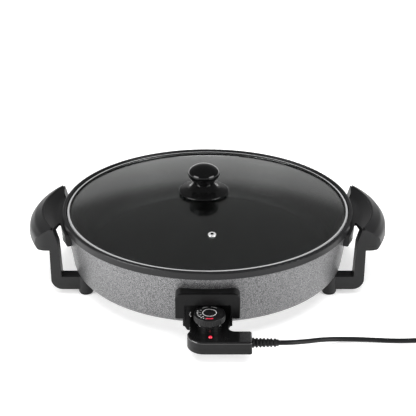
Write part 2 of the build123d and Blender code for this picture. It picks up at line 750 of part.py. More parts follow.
# Knob in two mouldings: a wide heat-guard disc with its cone, and the mushroom head
DISC_R = 36.0
WAIST_R = 15.4
HEAD_R = 22.7
HEAD_Z = 155.7
KNOB_TOP = 169.2
ROUND = 0.5523                 # pull of a Bezier handle that draws a quarter ellipse
with BuildPart() as knob_disc:
    with BuildSketch(KNOB_SECTION):
        with BuildLine():
            FilletPolyline(
                (SHANK_R + 0.1, GLASS_TOP + 1),
                (DISC_R - 1, GLASS_TOP + 0.8),
                (DISC_R, GLASS_TOP + 1.8),
                (DISC_R, GLASS_TOP + 3.6),
                (21, GLASS_TOP + 7),
                (WAIST_R, KNOB_SPLIT),
                (SHANK_R + 0.1, KNOB_SPLIT),
                radius=[0, 0.6, 0.6, 1.6, 9, 0, 0],
                close=True,
            )
        make_face()
    revolve(axis=KNOB_AXIS)
knob_disc.part.label = "knob_disc"
export_step(knob_disc.part, "parts/knob_disc.step")

with BuildPart() as knob_head:
    with BuildSketch(KNOB_SECTION):
        with BuildLine():
            Line((0, KNOB_SPLIT), (WAIST_R, KNOB_SPLIT))
            Line((WAIST_R, KNOB_SPLIT), (WAIST_R, KNOB_SPLIT + 2))
            Spline(
                (WAIST_R, KNOB_SPLIT + 2),
                (HEAD_R, HEAD_Z),
                tangents=[(0.35, 1), (0, 1)],
                tangent_scalars=[0.8, 0.9],
            )
            Bezier(
                (HEAD_R, HEAD_Z),
                (HEAD_R, HEAD_Z + ROUND * (KNOB_TOP - HEAD_Z)),
                (HEAD_R * ROUND, KNOB_TOP),
                (0, KNOB_TOP),
            )
            Line((0, KNOB_TOP), (0, KNOB_SPLIT))
        make_face()
    revolve(axis=KNOB_AXIS)
    with BuildSketch(level(KNOB_SPLIT)):
        with Locations((KNOB_X, 0)):
            Circle(SHANK_R)
    extrude(amount=SCREW_REACH + 0.5, mode=Mode.SUBTRACT)
knob_head.part.label = "knob_head"
export_step(knob_head.part, "parts/knob_head.step")

# ================================================================== the controller
def case_outline(inset):
    """Outline of the controller's case, seen from above and drawn in by an inset."""
    left = -26.5 + inset
    corner = 22 - inset
    points = (
        (CTRL_X - 26 + inset, PLUG_END - inset),
        (CTRL_X - 26 + inset, -231 + inset * 0.3),
        (left, -238 + inset * 0.3),
        (left, -FRONT_REACH + inset),
        (ARM_END - inset, -FRONT_REACH + inset),
        (ARM_END - inset, -232 - inset),
        (CTRL_X + 25.5 - inset, -232 - inset),
        (CTRL_X + 25.5 - inset, PLUG_END - inset),
    )
    radii = (3, 4, 3, corner, 3, 3, 8, 3)
    return points, radii


CASE_SCREWS = ((-19, -240.5), (30, -254), (50.5, -236.5))
NECK_R = 15.5
NECK_TOP = DIAL_Z - 0.4
NECK_RINGS = 3
NECK_PITCH = 3.2
LAMP = (CTRL_X + 1, -248.0)
POST_R = 2.8                # round each case screw
POST_BORE = 1.3
BOOT_HOLE_R = 5.0
CASE_EDGE = 2.2             # rounding round the top of the case
PIN_HOLE_R = PIN_R + 1.1
outer_points, outer_radii = case_outline(0)
inner_points, inner_radii = case_outline(CTRL_WALL)

with BuildPart() as case_base:
    with BuildSketch(level(CTRL_LOW)):
        with BuildLine():
            FilletPolyline(*outer_points, radius=outer_radii, close=True)
        make_face()
    extrude(amount=CTRL_MID - CTRL_LOW)
    fillet(case_base.edges().group_by(Axis.Z)[0], 0.8)
    with BuildSketch(level(CTRL_LOW + CTRL_WALL)):
        with BuildLine():
            FilletPolyline(*inner_points, radius=inner_radii, close=True)
        make_face()
    extrude(amount=CTRL_HIGH - CTRL_LOW, mode=Mode.SUBTRACT)
    with BuildSketch(level(CTRL_LOW + 1)):
        with Locations(*CASE_SCREWS):
            Circle(POST_R)
    extrude(amount=CTRL_MID - CTRL_LOW - 1)
    with BuildSketch(level(CTRL_LOW)):
        with Locations(*CASE_SCREWS):
            Circle(POST_BORE)
    extrude(amount=20, mode=Mode.SUBTRACT)
    with BuildSketch(level(CTRL_LOW)):
        with Locations(*CASE_SCREWS):
            Circle(2.3)
    extrude(amount=2, mode=Mode.SUBTRACT)
    with BuildSketch(front_plane(PLUG_END + 1)):
        with Locations((PIN_X[0], CTRL_MID), (PIN_X[1], CTRL_MID)):
            Circle(PIN_HOLE_R)
        with Locations((CTRL_X, CTRL_MID)):
            Circle(PROBE_R + 0.02)
    extrude(amount=5, mode=Mode.SUBTRACT)
    with BuildSketch(side_plane(ARM_END + 1)):
        with Locations((BOOT_Y, CTRL_MID)):
            Circle(BOOT_HOLE_R)
    extrude(amount=-5, mode=Mode.SUBTRACT)
case_base.part.label = "case_base"
export_step(case_base.part, "parts/case_base.step")

with BuildPart() as case_top:
    with BuildSketch(level(CTRL_MID)):
        with BuildLine():
            FilletPolyline(*outer_points, radius=outer_radii, close=True)
        make_face()
    extrude(amount=CTRL_HIGH - CTRL_MID)
    fillet(case_top.edges().group_by(Axis.Z)[-1], CASE_EDGE)
    with BuildSketch(level(CTRL_HIGH - 1)):
        with Locations((CTRL_X, DIAL_Y)):
            Circle(NECK_R)
    extrude(amount=NECK_TOP - CTRL_HIGH + 1)
    for ring in range(NECK_RINGS):
        with BuildSketch(level(NECK_TOP - 1 - NECK_PITCH * (ring + 1))):
            with Locations((CTRL_X, DIAL_Y)):
                Circle(NECK_R + 1)
                Circle(NECK_R - 0.7, mode=Mode.SUBTRACT)
        extrude(amount=1.1, mode=Mode.SUBTRACT)
    with BuildSketch(level(CTRL_MID)):
        with BuildLine():
            FilletPolyline(*inner_points, radius=inner_radii, close=True)
        make_face()
    extrude(amount=CTRL_HIGH - CTRL_MID - CTRL_WALL, mode=Mode.SUBTRACT)
    with BuildSketch(level(CTRL_MID)):
        with Locations((CTRL_X, DIAL_Y)):
            Circle(NECK_R - 2.7)
    extrude(amount=NECK_TOP - CTRL_MID - CTRL_WALL, mode=Mode.SUBTRACT)
    with BuildSketch(level(CTRL_MID)):
        with Locations((CTRL_X, DIAL_Y)):
            Circle(3.3)
        with Locations(LAMP):
            Circle(2.6)
    extrude(amount=40, mode=Mode.SUBTRACT)
    with BuildSketch(level(CTRL_MID)):
        with Locations(*CASE_SCREWS):
            Circle(POST_R)
            Circle(POST_BORE, mode=Mode.SUBTRACT)
    extrude(amount=CTRL_HIGH - CTRL_MID - 1)
    with BuildSketch(front_plane(PLUG_END + 1)):
        with Locations((PIN_X[0], CTRL_MID), (PIN_X[1], CTRL_MID)):
            Circle(PIN_HOLE_R)
        with Locations((CTRL_X, CTRL_MID)):
            Circle(PROBE_R + 0.02)
    extrude(amount=5, mode=Mode.SUBTRACT)
    with BuildSketch(side_plane(ARM_END + 1)):
        with Locations((BOOT_Y, CTRL_MID)):
            Circle(BOOT_HOLE_R)
    extrude(amount=-5, mode=Mode.SUBTRACT)
case_top.part.label = "case_top"
export_step(case_top.part, "parts/case_top.step")

with BuildPart() as case_screws:
    with BuildSketch(level(CTRL_LOW + 0.3)):
        with Locations(*CASE_SCREWS):
            Circle(2.2)
    extrude(amount=1.6)
    with BuildSketch(level(CTRL_LOW + 1.9)):
        with Locations(*CASE_SCREWS):
            Circle(1.25)
    extrude(amount=13)
case_screws.part.label = "case_screws"
export_step(case_screws.part, "parts/case_screws.step")

# Probe that reads the pan's heat, with a collar inside the case
PROBE_TIP = -126.0
with BuildPart() as probe_rod:
    with BuildSketch(front_plane(PROBE_TIP)):
        with Locations((CTRL_X, CTRL_MID)):
            Circle(PROBE_R)
    extrude(amount=PROBE_TIP + 213.5)
    fillet(probe_rod.faces().sort_by(Axis.Y)[-1].edges(), 2.6)
    with BuildSketch(front_plane(PLUG_END - CTRL_WALL - 0.1)):
        with Locations((CTRL_X, CTRL_MID)):
            Circle(6)
    extrude(amount=3)
probe_rod.part.label = "probe_rod"
export_step(probe_rod.part, "parts/probe_rod.step")

# Sprung sleeves that grip the heating pins
for side, x in (("left", PIN_X[0]), ("right", PIN_X[1])):
    with BuildPart() as contact:
        with BuildSketch(front_plane(PLUG_END - 0.6)):
            with Locations((x, CTRL_MID)):
                Circle(PIN_R + 0.9)
                Circle(PIN_R + 0.15, mode=Mode.SUBTRACT)
        extrude(amount=19)
        with BuildSketch(front_plane(PLUG_END - 19.6)):
            with Locations((x, CTRL_MID)):
                Rectangle(6.4, 1)
        extrude(amount=5)
    contact.part.label = f"contact_{side}"
    export_step(contact.part, f"parts/contact_{side}.step")

# ------------------------------------------------------------------ thermostat
FRAME_Z = (31.0, 33.0)
PUSH_R = 1.5
PUSH_LOW = 28.4
SPINDLE_R = 3.0
SPINDLE_LOW = 36.0
with BuildPart() as thermostat_frame:
    with BuildSketch(level(FRAME_Z[0])):
        with Locations((CTRL_X, DIAL_Y - 1)):
            RectangleRounded(16, 24, 2)
        with Locations((CTRL_X, DIAL_Y)):
            Circle(PUSH_R + 0.06, mode=Mode.SUBTRACT)
    extrude(amount=FRAME_Z[1] - FRAME_Z[0])
thermostat_frame.part.label = "thermostat_frame"
export_step(thermostat_frame.part, "parts/thermostat_frame.step")

with BuildPart() as spindle_bush:
    with BuildSketch(level(FRAME_Z[1])):
        with Locations((CTRL_X, DIAL_Y)):
            Circle(6)
            Circle(SPINDLE_R + 0.05, mode=Mode.SUBTRACT)
    extrude(amount=10)
spindle_bush.part.label = "spindle_bush"
export_step(spindle_bush.part, "parts/spindle_bush.step")

# Stack behind the dial that clamps the sprung blades between insulators
STACK = (CTRL_X, DIAL_Y - 10.5)
BLADES = (("fixed_blade", 21.0, 0.8, 15), ("moving_blade", 26.0, 0.8, 17))
SPACERS = (("lower_spacer", 19.0, 2.0), ("middle_spacer", 21.8, 4.2), ("upper_spacer", 26.8, 4.2))
for name, low, thick in SPACERS:
    with BuildPart() as spacer:
        with BuildSketch(level(low)):
            with Locations(STACK):
                Rectangle(10, 6)
        extrude(amount=thick)
    spacer.part.label = name
    export_step(spacer.part, f"parts/{name}.step")
for name, low, thick, reach in BLADES:
    with BuildPart() as blade:
        with BuildSketch(level(low)):
            with Locations((STACK[0], STACK[1] - 3)):
                Rectangle(6, reach, align=(Align.CENTER, Align.MIN))
        extrude(amount=thick)
        with BuildSketch(level(low + thick if name == "fixed_blade" else low - 0.8)):
            with Locations((STACK[0], STACK[1] - 5 + reach)):
                Circle(1.6)
        extrude(amount=0.8)
    blade.part.label = name
    export_step(blade.part, f"parts/{name}.step")

with BuildPart() as push_pin:
    with BuildSketch(level(PUSH_LOW)):
        with Locations((CTRL_X, DIAL_Y)):
            Circle(PUSH_R)
    extrude(amount=SPINDLE_LOW - 0.05 - PUSH_LOW)
    fillet(push_pin.edges(), 0.3)
push_pin.part.label = "push_pin"
export_step(push_pin.part, "parts/push_pin.step")

with BuildPart() as lamp_lens:
    with BuildSketch(level(CTRL_HIGH - CTRL_WALL - 1)):
        with Locations(LAMP):
            Circle(3.6)
    extrude(amount=0.95)
    with BuildSketch(level(CTRL_HIGH - CTRL_WALL - 1)):
        with Locations(LAMP):
            Circle(2.5)
    extrude(amount=CTRL_WALL + 2.6)
    fillet(lamp_lens.edges().group_by(Axis.Z)[-1], 1.8)
lamp_lens.part.label = "lamp_lens"
export_step(lamp_lens.part, "parts/lamp_lens.step")

with BuildPart() as neon_lamp:
    with BuildSketch(side_plane(LAMP[0] - 6)):
        with Locations((LAMP[1], 29.4)):
            Circle(2.1)
    extrude(amount=12)
    fillet(neon_lamp.edges(), 0.9)
neon_lamp.part.label = "neon_lamp"
export_step(neon_lamp.part, "parts/neon_lamp.step")

# ------------------------------------------------------------------ dial
with BuildPart() as dial:
    with BuildSketch(level(DIAL_Z)):
        with Locations((CTRL_X, DIAL_Y)):
            Circle(DIAL_R)
    extrude(amount=DIAL_H)
    fillet(dial.edges().group_by(Axis.Z)[-1], 0.9)
    fillet(dial.edges().group_by(Axis.Z)[0], 0.6)
    with BuildSketch(level(DIAL_Z)):
        with Locations((CTRL_X, DIAL_Y)):
            Circle(DIAL_R - 3)
            Circle(6, mode=Mode.SUBTRACT)
    extrude(amount=DIAL_H - 3, mode=Mode.SUBTRACT)
    with BuildSketch(level(DIAL_Z)):
        with Locations((CTRL_X, DIAL_Y)):
            Circle(SPINDLE_R)
    extrude(amount=DIAL_H - 2, mode=Mode.SUBTRACT)
dial.part.label = "dial"
export_step(dial.part, "parts/dial.step")

with BuildPart() as dial_scale:
    with BuildSketch(level(DIAL_Z + DIAL_H)):
        with Locations((CTRL_X, DIAL_Y)):
            Circle(DIAL_R - 2.4)
    extrude(amount=0.4)
dial_scale.part.label = "dial_scale"
export_step(dial_scale.part, "parts/dial_scale.step")

with BuildPart() as spindle:
    with BuildSketch(level(SPINDLE_LOW)):
        with Locations((CTRL_X, DIAL_Y)):
            Circle(SPINDLE_R)
    extrude(amount=DIAL_Z + DIAL_H - 2 - SPINDLE_LOW)
    with BuildSketch(level(FRAME_Z[1] + 10.2)):
        with Locations((CTRL_X, DIAL_Y)):
            Circle(4.6)
    extrude(amount=1)
spindle.part.label = "spindle"
export_step(spindle.part, "parts/spindle.step")

# ------------------------------------------------------------------ cord
# Ribbed boot, held inside the arm by a flange
RIBS = 6
RIB_R = 6.6
BOOT_R = 4.7
RIB_STEP = (BOOT_END - ARM_END - 0.5) / RIBS
with BuildPart() as cord_boot:
    with BuildSketch(side_plane(ARM_END - CTRL_WALL - 2)):
        with Locations((BOOT_Y, CTRL_MID)):
            Circle(RIB_R)
    extrude(amount=1.9)
    with BuildSketch(side_plane(ARM_END - CTRL_WALL - 2)):
        with Locations((BOOT_Y, CTRL_MID)):
            Circle(BOOT_R)
    extrude(amount=BOOT_END - ARM_END + CTRL_WALL + 2)
    for rib in range(RIBS):
        with BuildSketch(side_plane(ARM_END + 0.3 + rib * RIB_STEP)):
            with Locations((BOOT_Y, CTRL_MID)):
                Circle(RIB_R - 0.2 * rib)
        extrude(amount=RIB_STEP * 0.66)
    rib_edges = cord_boot.edges().filter_by(GeomType.CIRCLE)
    fillet(rib_edges.filter_by(lambda edge: BOOT_R + 0.8 < edge.radius < RIB_R + 0.01), 0.8)
cord_boot.part.label = "cord_boot"
export_step(cord_boot.part, "parts/cord_boot.step")

# Sheath, clamp and wires inside the arm
SHEATH_START = 36.0
with BuildPart() as sheath_end:
    with BuildSketch(side_plane(SHEATH_START)):
        with Locations((BOOT_Y, CTRL_MID)):
            Circle(CORD_R)
    extrude(amount=ARM_END - CTRL_WALL - 2 - SHEATH_START)
sheath_end.part.label = "sheath_end"
export_step(sheath_end.part, "parts/sheath_end.step")

with BuildPart() as cord_clamp:
    with BuildSketch(side_plane(SHEATH_START + 4)):
        with Locations((BOOT_Y, CTRL_MID)):
            RectangleRounded(15, 13.8, 1)
            Circle(CORD_R + 0.02, mode=Mode.SUBTRACT)
    extrude(amount=7)
cord_clamp.part.label = "cord_clamp"
export_step(cord_clamp.part, "parts/cord_clamp.step")

with BuildPart() as wires:
    with BuildSketch(side_plane(SHEATH_START)):
        with Locations((BOOT_Y, CTRL_MID)):
            with PolarLocations(1.7, 3):
                Circle(1.1)
    extrude(amount=-14)
wires.part.label = "wires"
export_step(wires.part, "parts/wires.step")


def cord_radii(points):
    """Largest arcs that each corner of a route leaves room for."""
    radii = []
    for before, corner, after in zip(points, points[1:], points[2:]):
        run_in = Vector(corner) - Vector(before)
        run_out = Vector(after) - Vector(corner)
        half_turn = math.radians(run_in.get_angle(run_out)) / 2
        radii.append(0.45 * min(run_in.length, run_out.length) / math.tan(half_turn))
    return radii


def cord_solid(points, radii):
    """Round tube along straight runs joined by tangent arcs."""
    with BuildPart() as tube:
        with BuildLine():
            path = FilletPolyline(*points, radius=radii)
        with BuildSketch(Plane(origin=path @ 0, z_dir=path % 0)):
            Circle(CORD_R)
        sweep()
    expected = math.pi * CORD_R**2 * path.length
    print("length", round(path.length, 1), "volume ratio", round(tube.part.volume / expected, 4))
    return tube.part


# Route of the free stretch: out of the boot, down to the table and along it to the coil
STRAND = CORD_R + 0.1
FLOOR_LIE = CORD_R + 0.05
COIL_Z = FLOOR_LIE + 1.0
COIL_OUT = COIL_R + STRAND
ENTRY_Y = COIL[1] - COIL_OUT
ROUTE = [
    (BOOT_END, PAN_Y + BOOT_Y, CTRL_MID),
    (100, PAN_Y + BOOT_Y, CTRL_MID),
    (114, PAN_Y - 242.3, 24),
    (130, PAN_Y - 230.5, 18),
    (152, PAN_Y - 212.5, 9.5),
    (180, PAN_Y - 203.5, 4.6),
    (214, PAN_Y - 203, FLOOR_LIE),
    (250, PAN_Y - 206.5, FLOOR_LIE),
    (286, PAN_Y - 205, FLOOR_LIE + 0.3),
    (312, PAN_Y + ENTRY_Y, COIL_Z),
    (COIL[0] - 16, PAN_Y + ENTRY_Y, COIL_Z + 0.02),
]
radii = cord_radii(ROUTE)
print("cord radii", [round(r) for r in radii])
cord_tube = cord_solid(ROUTE, radii)

# The rest of the cord, four strands two by two in a ring
with BuildPart() as cord_coil:
    with BuildSketch(Plane(origin=(COIL[0], PAN_Y + COIL[1], 0), x_dir=(1, 0, 0), z_dir=(0, -1, 0))):
        with Locations((COIL_R, COIL_Z + STRAND)):
            RectangleRounded(4 * STRAND, 4 * STRAND, 3)
    revolve(axis=Axis((COIL[0], PAN_Y + COIL[1], 0), (0, 0, 1)))
cord_coil.part.label = "cord_coil"
export_step(cord_coil.part, "parts/cord_coil.step")

cord_tube = cord_tube - cord_coil.part
cord_tube.label = "cord_tube"
export_step(cord_tube, "parts/cord_tube.step")

# Tie round the coil's strands
TIE_TURN = math.radians(150)
TIE_AWAY = Vector(math.cos(TIE_TURN), math.sin(TIE_TURN), 0)
TIE_MID = Vector(COIL[0], PAN_Y + COIL[1], COIL_Z + STRAND) + TIE_AWAY * COIL_R
with BuildPart() as cord_tie:
    with BuildSketch(Plane(origin=TIE_MID, x_dir=TIE_AWAY, z_dir=TIE_AWAY.cross(Vector(0, 0, 1)))):
        RectangleRounded(4 * STRAND + 2.2, 4 * STRAND + 1.8, 3.6)
        RectangleRounded(4 * STRAND + 0.4, 4 * STRAND + 0.2, 3, mode=Mode.SUBTRACT)
    extrude(amount=3, both=True)
cord_tie.part.label = "cord_tie"
export_step(cord_tie.part, "parts/cord_tie.step")

# Short tail from the coil's upper strand to the mains plug, which lies on its side
PLUG_X = COIL[0] + COIL_OUT
PLUG_Z = PLUG_R + 0.1
PLUG_BACK = -88.0
TAIL_Z = COIL_Z + 2 * STRAND
TAIL = [
    (PLUG_X, PAN_Y + COIL[1] + 16, TAIL_Z),
    (PLUG_X + 0.3, PAN_Y - 126, TAIL_Z + 1),
    (PLUG_X + 0.6, PAN_Y - 107, PLUG_Z - 2),
    (PLUG_X, PAN_Y + PLUG_BACK, PLUG_Z),
]
radii = cord_radii(TAIL)
print("tail radii", [round(r) for r in radii])
cord_tail = cord_solid(TAIL, radii) - cord_coil.part
cord_tail.label = "cord_tail"
export_step(cord_tail, "parts/cord_tail.step")

PLUG_FACE = PLUG_BACK + 60
PLUG_PIN_GAP = 19.0
PLUG_PIN_R = 2.4
PLUG_PIN_LONG = 19.0
PLUG_AXIS = Axis((PLUG_X, PAN_Y, PLUG_Z), (0, 1, 0))
with BuildPart() as plug_body:
    with BuildSketch(Plane(origin=(PLUG_X, PAN_Y, PLUG_Z), x_dir=(0, 1, 0), z_dir=(0, 0, 1))):
        with BuildLine():
            FilletPolyline(
                (PLUG_BACK + 0.5, 0),
                (PLUG_BACK + 0.5, 5),
                (PLUG_BACK + 24, 7),
                (PLUG_BACK + 30, 14),
                (PLUG_BACK + 42, 14.5),
                (PLUG_BACK + 46, PLUG_R),
                (PLUG_FACE, PLUG_R),
                (PLUG_FACE, 0),
                radius=[0, 1.2, 4, 4, 2, 2, 1, 0],
                close=True,
            )
        make_face()
    revolve(axis=PLUG_AXIS)
    with BuildSketch(front_plane(PLUG_FACE + 1)):
        with Locations((PLUG_X, PLUG_Z)):
            with GridLocations(0, 2 * PLUG_R - 2, 1, 2):
                Rectangle(7, 5)
    extrude(amount=13, mode=Mode.SUBTRACT)
    with BuildSketch(front_plane(PLUG_BACK)):
        with Locations((PLUG_X, PLUG_Z)):
            Circle(CORD_R + 0.3)
    extrude(amount=-0.4, mode=Mode.SUBTRACT)
plug_body.part.label = "plug_body"
export_step(plug_body.part, "parts/plug_body.step")

with BuildPart() as plug_pins:
    with BuildSketch(front_plane(PLUG_FACE)):
        with Locations((PLUG_X, PLUG_Z)):
            with GridLocations(PLUG_PIN_GAP, 0, 2, 1):
                Circle(PLUG_PIN_R)
    extrude(amount=-PLUG_PIN_LONG)
    chamfer(plug_pins.faces().sort_by(Axis.Y)[-2:].edges(), 0.9)
plug_pins.part.label = "plug_pins"
export_step(plug_pins.part, "parts/plug_pins.step")

with BuildPart() as plug_earths:
    with BuildSketch(front_plane(PLUG_FACE - 0.3)):
        with Locations((PLUG_X, PLUG_Z)):
            with GridLocations(0, 2 * PLUG_R - 6, 1, 2):
                Rectangle(4.5, 0.9)
    extrude(amount=11.5)
plug_earths.part.label = "plug_earths"
export_step(plug_earths.part, "parts/plug_earths.step")
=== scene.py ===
"""Looks of a round electric party pan: hammered wall, black coated bowl, glass lid, two standing
handles and a plug-in heat controller on its cord.  Metres, +Z up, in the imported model's frame."""
import json
import math

import bmesh
import bpy
from mathutils import Matrix, Vector


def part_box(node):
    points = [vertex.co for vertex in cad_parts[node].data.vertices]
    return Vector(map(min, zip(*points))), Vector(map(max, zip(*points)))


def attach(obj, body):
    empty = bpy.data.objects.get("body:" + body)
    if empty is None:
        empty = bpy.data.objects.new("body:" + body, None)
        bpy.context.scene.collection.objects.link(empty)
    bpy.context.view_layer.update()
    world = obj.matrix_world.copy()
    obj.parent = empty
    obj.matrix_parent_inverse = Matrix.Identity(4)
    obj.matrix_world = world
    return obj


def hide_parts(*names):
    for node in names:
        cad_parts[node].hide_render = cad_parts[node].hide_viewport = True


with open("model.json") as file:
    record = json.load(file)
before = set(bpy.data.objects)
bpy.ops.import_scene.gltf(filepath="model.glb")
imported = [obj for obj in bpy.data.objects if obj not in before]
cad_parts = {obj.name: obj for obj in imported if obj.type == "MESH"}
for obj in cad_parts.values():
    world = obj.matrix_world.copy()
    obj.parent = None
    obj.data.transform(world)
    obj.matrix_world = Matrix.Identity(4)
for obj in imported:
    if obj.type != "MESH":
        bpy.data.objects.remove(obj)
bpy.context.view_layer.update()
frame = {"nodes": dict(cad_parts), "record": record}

bl_info = {
    "name": "Party Pan",
    "version": (1, 0, 0),
    "blender": (4, 5, 0),
    "location": "View3D > Sidebar > Party Pan",
    "description": "Finishes and small parts for a round electric party pan",
    "category": "Add Mesh",
}

WHITE = (1.0, 1.0, 1.0, 1.0)


def middle(node):
    """Centre of a CAD node's box."""
    low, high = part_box(node)
    return (low + high) / 2


PAN_AXIS = middle("pan_bowl")
RIM_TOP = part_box("pan_bowl")[1].z
DIAL_AXIS = middle("dial")

# Where a finish changes, in metres
SHOULDER_EDGE = 0.0002  # height over which the case turns from grained to polished
RING_PAINTED_DARK = 0.0036  # inside the lid ring's outer edge, where the painted dark reflection on its lip ends
RING_BRIGHT = 0.0028  # inside the same edge, where its bright shoulder begins
EYELET_BORE_PAINTED_SHADE = 0.0021  # from the vent's axis, where the painted shade in its bore ends
EYELET_FLANGE = 0.0025  # from the same axis, where its bright flange begins

# Print of the dial: (radius, half width) of each band in metres, angles in radians from the back
INNER_RING = (0.0088, 0.00030)
OUTER_ARCS = (0.0148, 0.00034)
TICK_ROW = (0.0158, 0.00095)
HOT_FIELD = (0.0148, 0.0011)
INK_EDGE = 0.00012
ARC_MIDDLE, ARC_HALF = 0.42, 0.26
TICKS_MIDDLE, TICKS_HALF = -2.0, 0.85
TICKS_PER_RADIAN = 28.0
FIELD_HALF = 0.30
SECTOR_EDGE = 0.03
FIGURES = (("1", -62), ("2", -88), ("3", -114), ("4", -140))  # degrees clockwise from the back
FIGURE_DEPTH = 0.00005
FIGURE_LIFT = 0.00003

# White arrow mark on the socket, in metres
MARK_TIP_X, MARK_TIP_Z = -0.0238, 0.0476
MARK_LENGTH = 0.0042
MARK_WIDTH = 0.0006
MARK_LIFT = 0.00008
MARK_OPENING = math.radians(62.0)

# Studio
SENSOR_WIDTH = 36.0
NEAREST = 0.05
OVERHEAD_SPREAD = math.radians(70.0)
FLOOR_REACH = 30.0
BOX_SHARES = ((-1.0, 1.15), (1.0, 1.0))  # side, and its share of the power
BOX_TURN = math.radians(57.0)
BOX_RISE = math.radians(13.0)
BOX_WIDTH, BOX_HEIGHT = 1.1, 0.62
BOX_AWAY = 1.7
ROOM_LOW, ROOM_HIGH = 0.22, 0.19  # glow of the room at the floor and overhead
BACKDROP_GLOW = 0.30
BACKDROP_FULL = math.sin(math.radians(15.5))
BACKDROP_END = math.sin(math.radians(24.0))


# ------------------------------------------------------------------ node trees
class Wire:
    """An output in a node tree. Sums written with it add Math nodes."""

    def __init__(self, recipe, socket):
        self.recipe = recipe
        self.socket = socket

    def out(self, name):
        """Another output of the same node."""
        return Wire(self.recipe, pick(self.socket.node.outputs, name))

    def maths(self, operation, *terms):
        return self.recipe.node("ShaderNodeMath", {"operation": operation}, dict(enumerate(terms)))

    def __add__(self, other):
        return self.maths("ADD", self, other)

    def __radd__(self, other):
        return self.maths("ADD", other, self)

    def __sub__(self, other):
        return self.maths("SUBTRACT", self, other)

    def __rsub__(self, other):
        return self.maths("SUBTRACT", other, self)

    def __mul__(self, other):
        return self.maths("MULTIPLY", self, other)

    def __rmul__(self, other):
        return self.maths("MULTIPLY", other, self)

    def __truediv__(self, other):
        return self.maths("DIVIDE", self, other)

    def __mod__(self, other):
        return self.maths("FLOORED_MODULO", self, other)

    def __abs__(self):
        return self.maths("ABSOLUTE", self)

    def power(self, other):
        return self.maths("POWER", self, other)

    def floor(self):
        return self.maths("FLOOR", self)

    def sin(self):
        return self.maths("SINE", self)

    def cos(self):
        return self.maths("COSINE", self)

    def step(self, low, high, first=0.0, last=1.0):
        """A smooth change from first to last as the value goes from low to high."""
        return self.recipe.node(
            "ShaderNodeMapRange",
            {"interpolation_type": "SMOOTHSTEP"},
            {"Value": self, "From Min": low, "From Max": high, "To Min": first, "To Max": last},
        )


def pick(sockets, name):
    """A socket by its number, its identifier or its name."""
    if isinstance(name, int):
        return sockets[name]
    for socket in sockets:
        if socket.identifier == name:
            return socket
    return next(socket for socket in sockets if socket.name == name and socket.enabled)


class Recipe:
    """A node tree in the making."""

    def __init__(self, tree):
        self.tree = tree

    def node(self, kind, settings=None, sockets=None, output=0):
        """Adds a node: its settings first, then a value or a link for each named input."""
        added = self.tree.nodes.new(kind)
        for name, value in (settings or {}).items():
            if name == "stops":
                for spare, (place, shade) in enumerate(value):
                    ramp = added.color_ramp.elements
                    stop = ramp[spare] if spare < len(ramp) else ramp.new(place)
                    stop.position = place
                    stop.color = shade
            else:
                setattr(added, name, value)
        for name, value in (sockets or {}).items():
            socket = pick(added.inputs, name)
            if isinstance(value, Wire):
                self.tree.links.new(value.socket, socket)
            else:
                socket.default_value = value
        if len(added.outputs):
            return Wire(self, pick(added.outputs, output))


def grey(value):
    return (value, value, value, 1.0)


def tinted(colour, factor):
    """A colour made lighter or darker."""
    return (*(min(1.0, part * factor) for part in colour[:3]), 1.0)


class Paint(Recipe):
    """A material in the making, on Object coordinates in metres."""

    def __init__(self, name):
        self.material = bpy.data.materials.new(name)
        self.material.use_nodes = True
        super().__init__(self.material.node_tree)
        self.tree.nodes.clear()
        self.place = self.node("ShaderNodeTexCoord", output="Object")

    def around(self, centre):
        """Place measured from an upright axis: (x, y, distance from the axis) as wires."""
        moved = self.node("ShaderNodeVectorMath", {"operation": "SUBTRACT"}, {0: self.place, 1: centre})
        parts = self.node("ShaderNodeSeparateXYZ", None, {0: moved})
        across = parts.out("X")
        along = parts.out("Y")
        return across, along, (across * across + along * along).power(0.5)

    def noise(self, scale, detail=3.0, rough=0.5, place=None, warp=0.0):
        return self.node(
            "ShaderNodeTexNoise",
            None,
            {"Vector": place or self.place, "Scale": scale, "Detail": detail, "Roughness": rough,
             "Distortion": warp},
        )

    def cells(self, scale, feature="F1", place=None):
        """Distance within a pattern of cells."""
        return self.node(
            "ShaderNodeTexVoronoi",
            {"feature": feature},
            {"Vector": place or self.place, "Scale": scale},
            "Distance",
        )

    def stretched(self, factors):
        """Object coordinates pulled along an axis, for brushed or drawn metal."""
        return self.node("ShaderNodeVectorMath", {"operation": "MULTIPLY"}, {0: self.place, 1: factors})

    def mix(self, first, second, factor):
        """A colour between two, by a mask."""
        return self.node(
            "ShaderNodeMix",
            {"data_type": "RGBA"},
            {"Factor_Float": factor, "A_Color": first, "B_Color": second},
            "Result_Color",
        )

    def bump(self, height, depth, strength=1.0):
        """A normal for a height wire, its full depth in metres."""
        return self.node(
            "ShaderNodeBump", None, {"Height": height, "Distance": depth, "Strength": strength}
        )

    def height(self):
        """Height above the table."""
        return self.node("ShaderNodeSeparateXYZ", None, {0: self.place}).out("Z")

    def finish(self, sockets):
        """Closes the material on one Principled shader."""
        shader = self.node("ShaderNodeBsdfPrincipled", None, sockets)
        self.node("ShaderNodeOutputMaterial", None, {"Surface": shader})
        return self.material


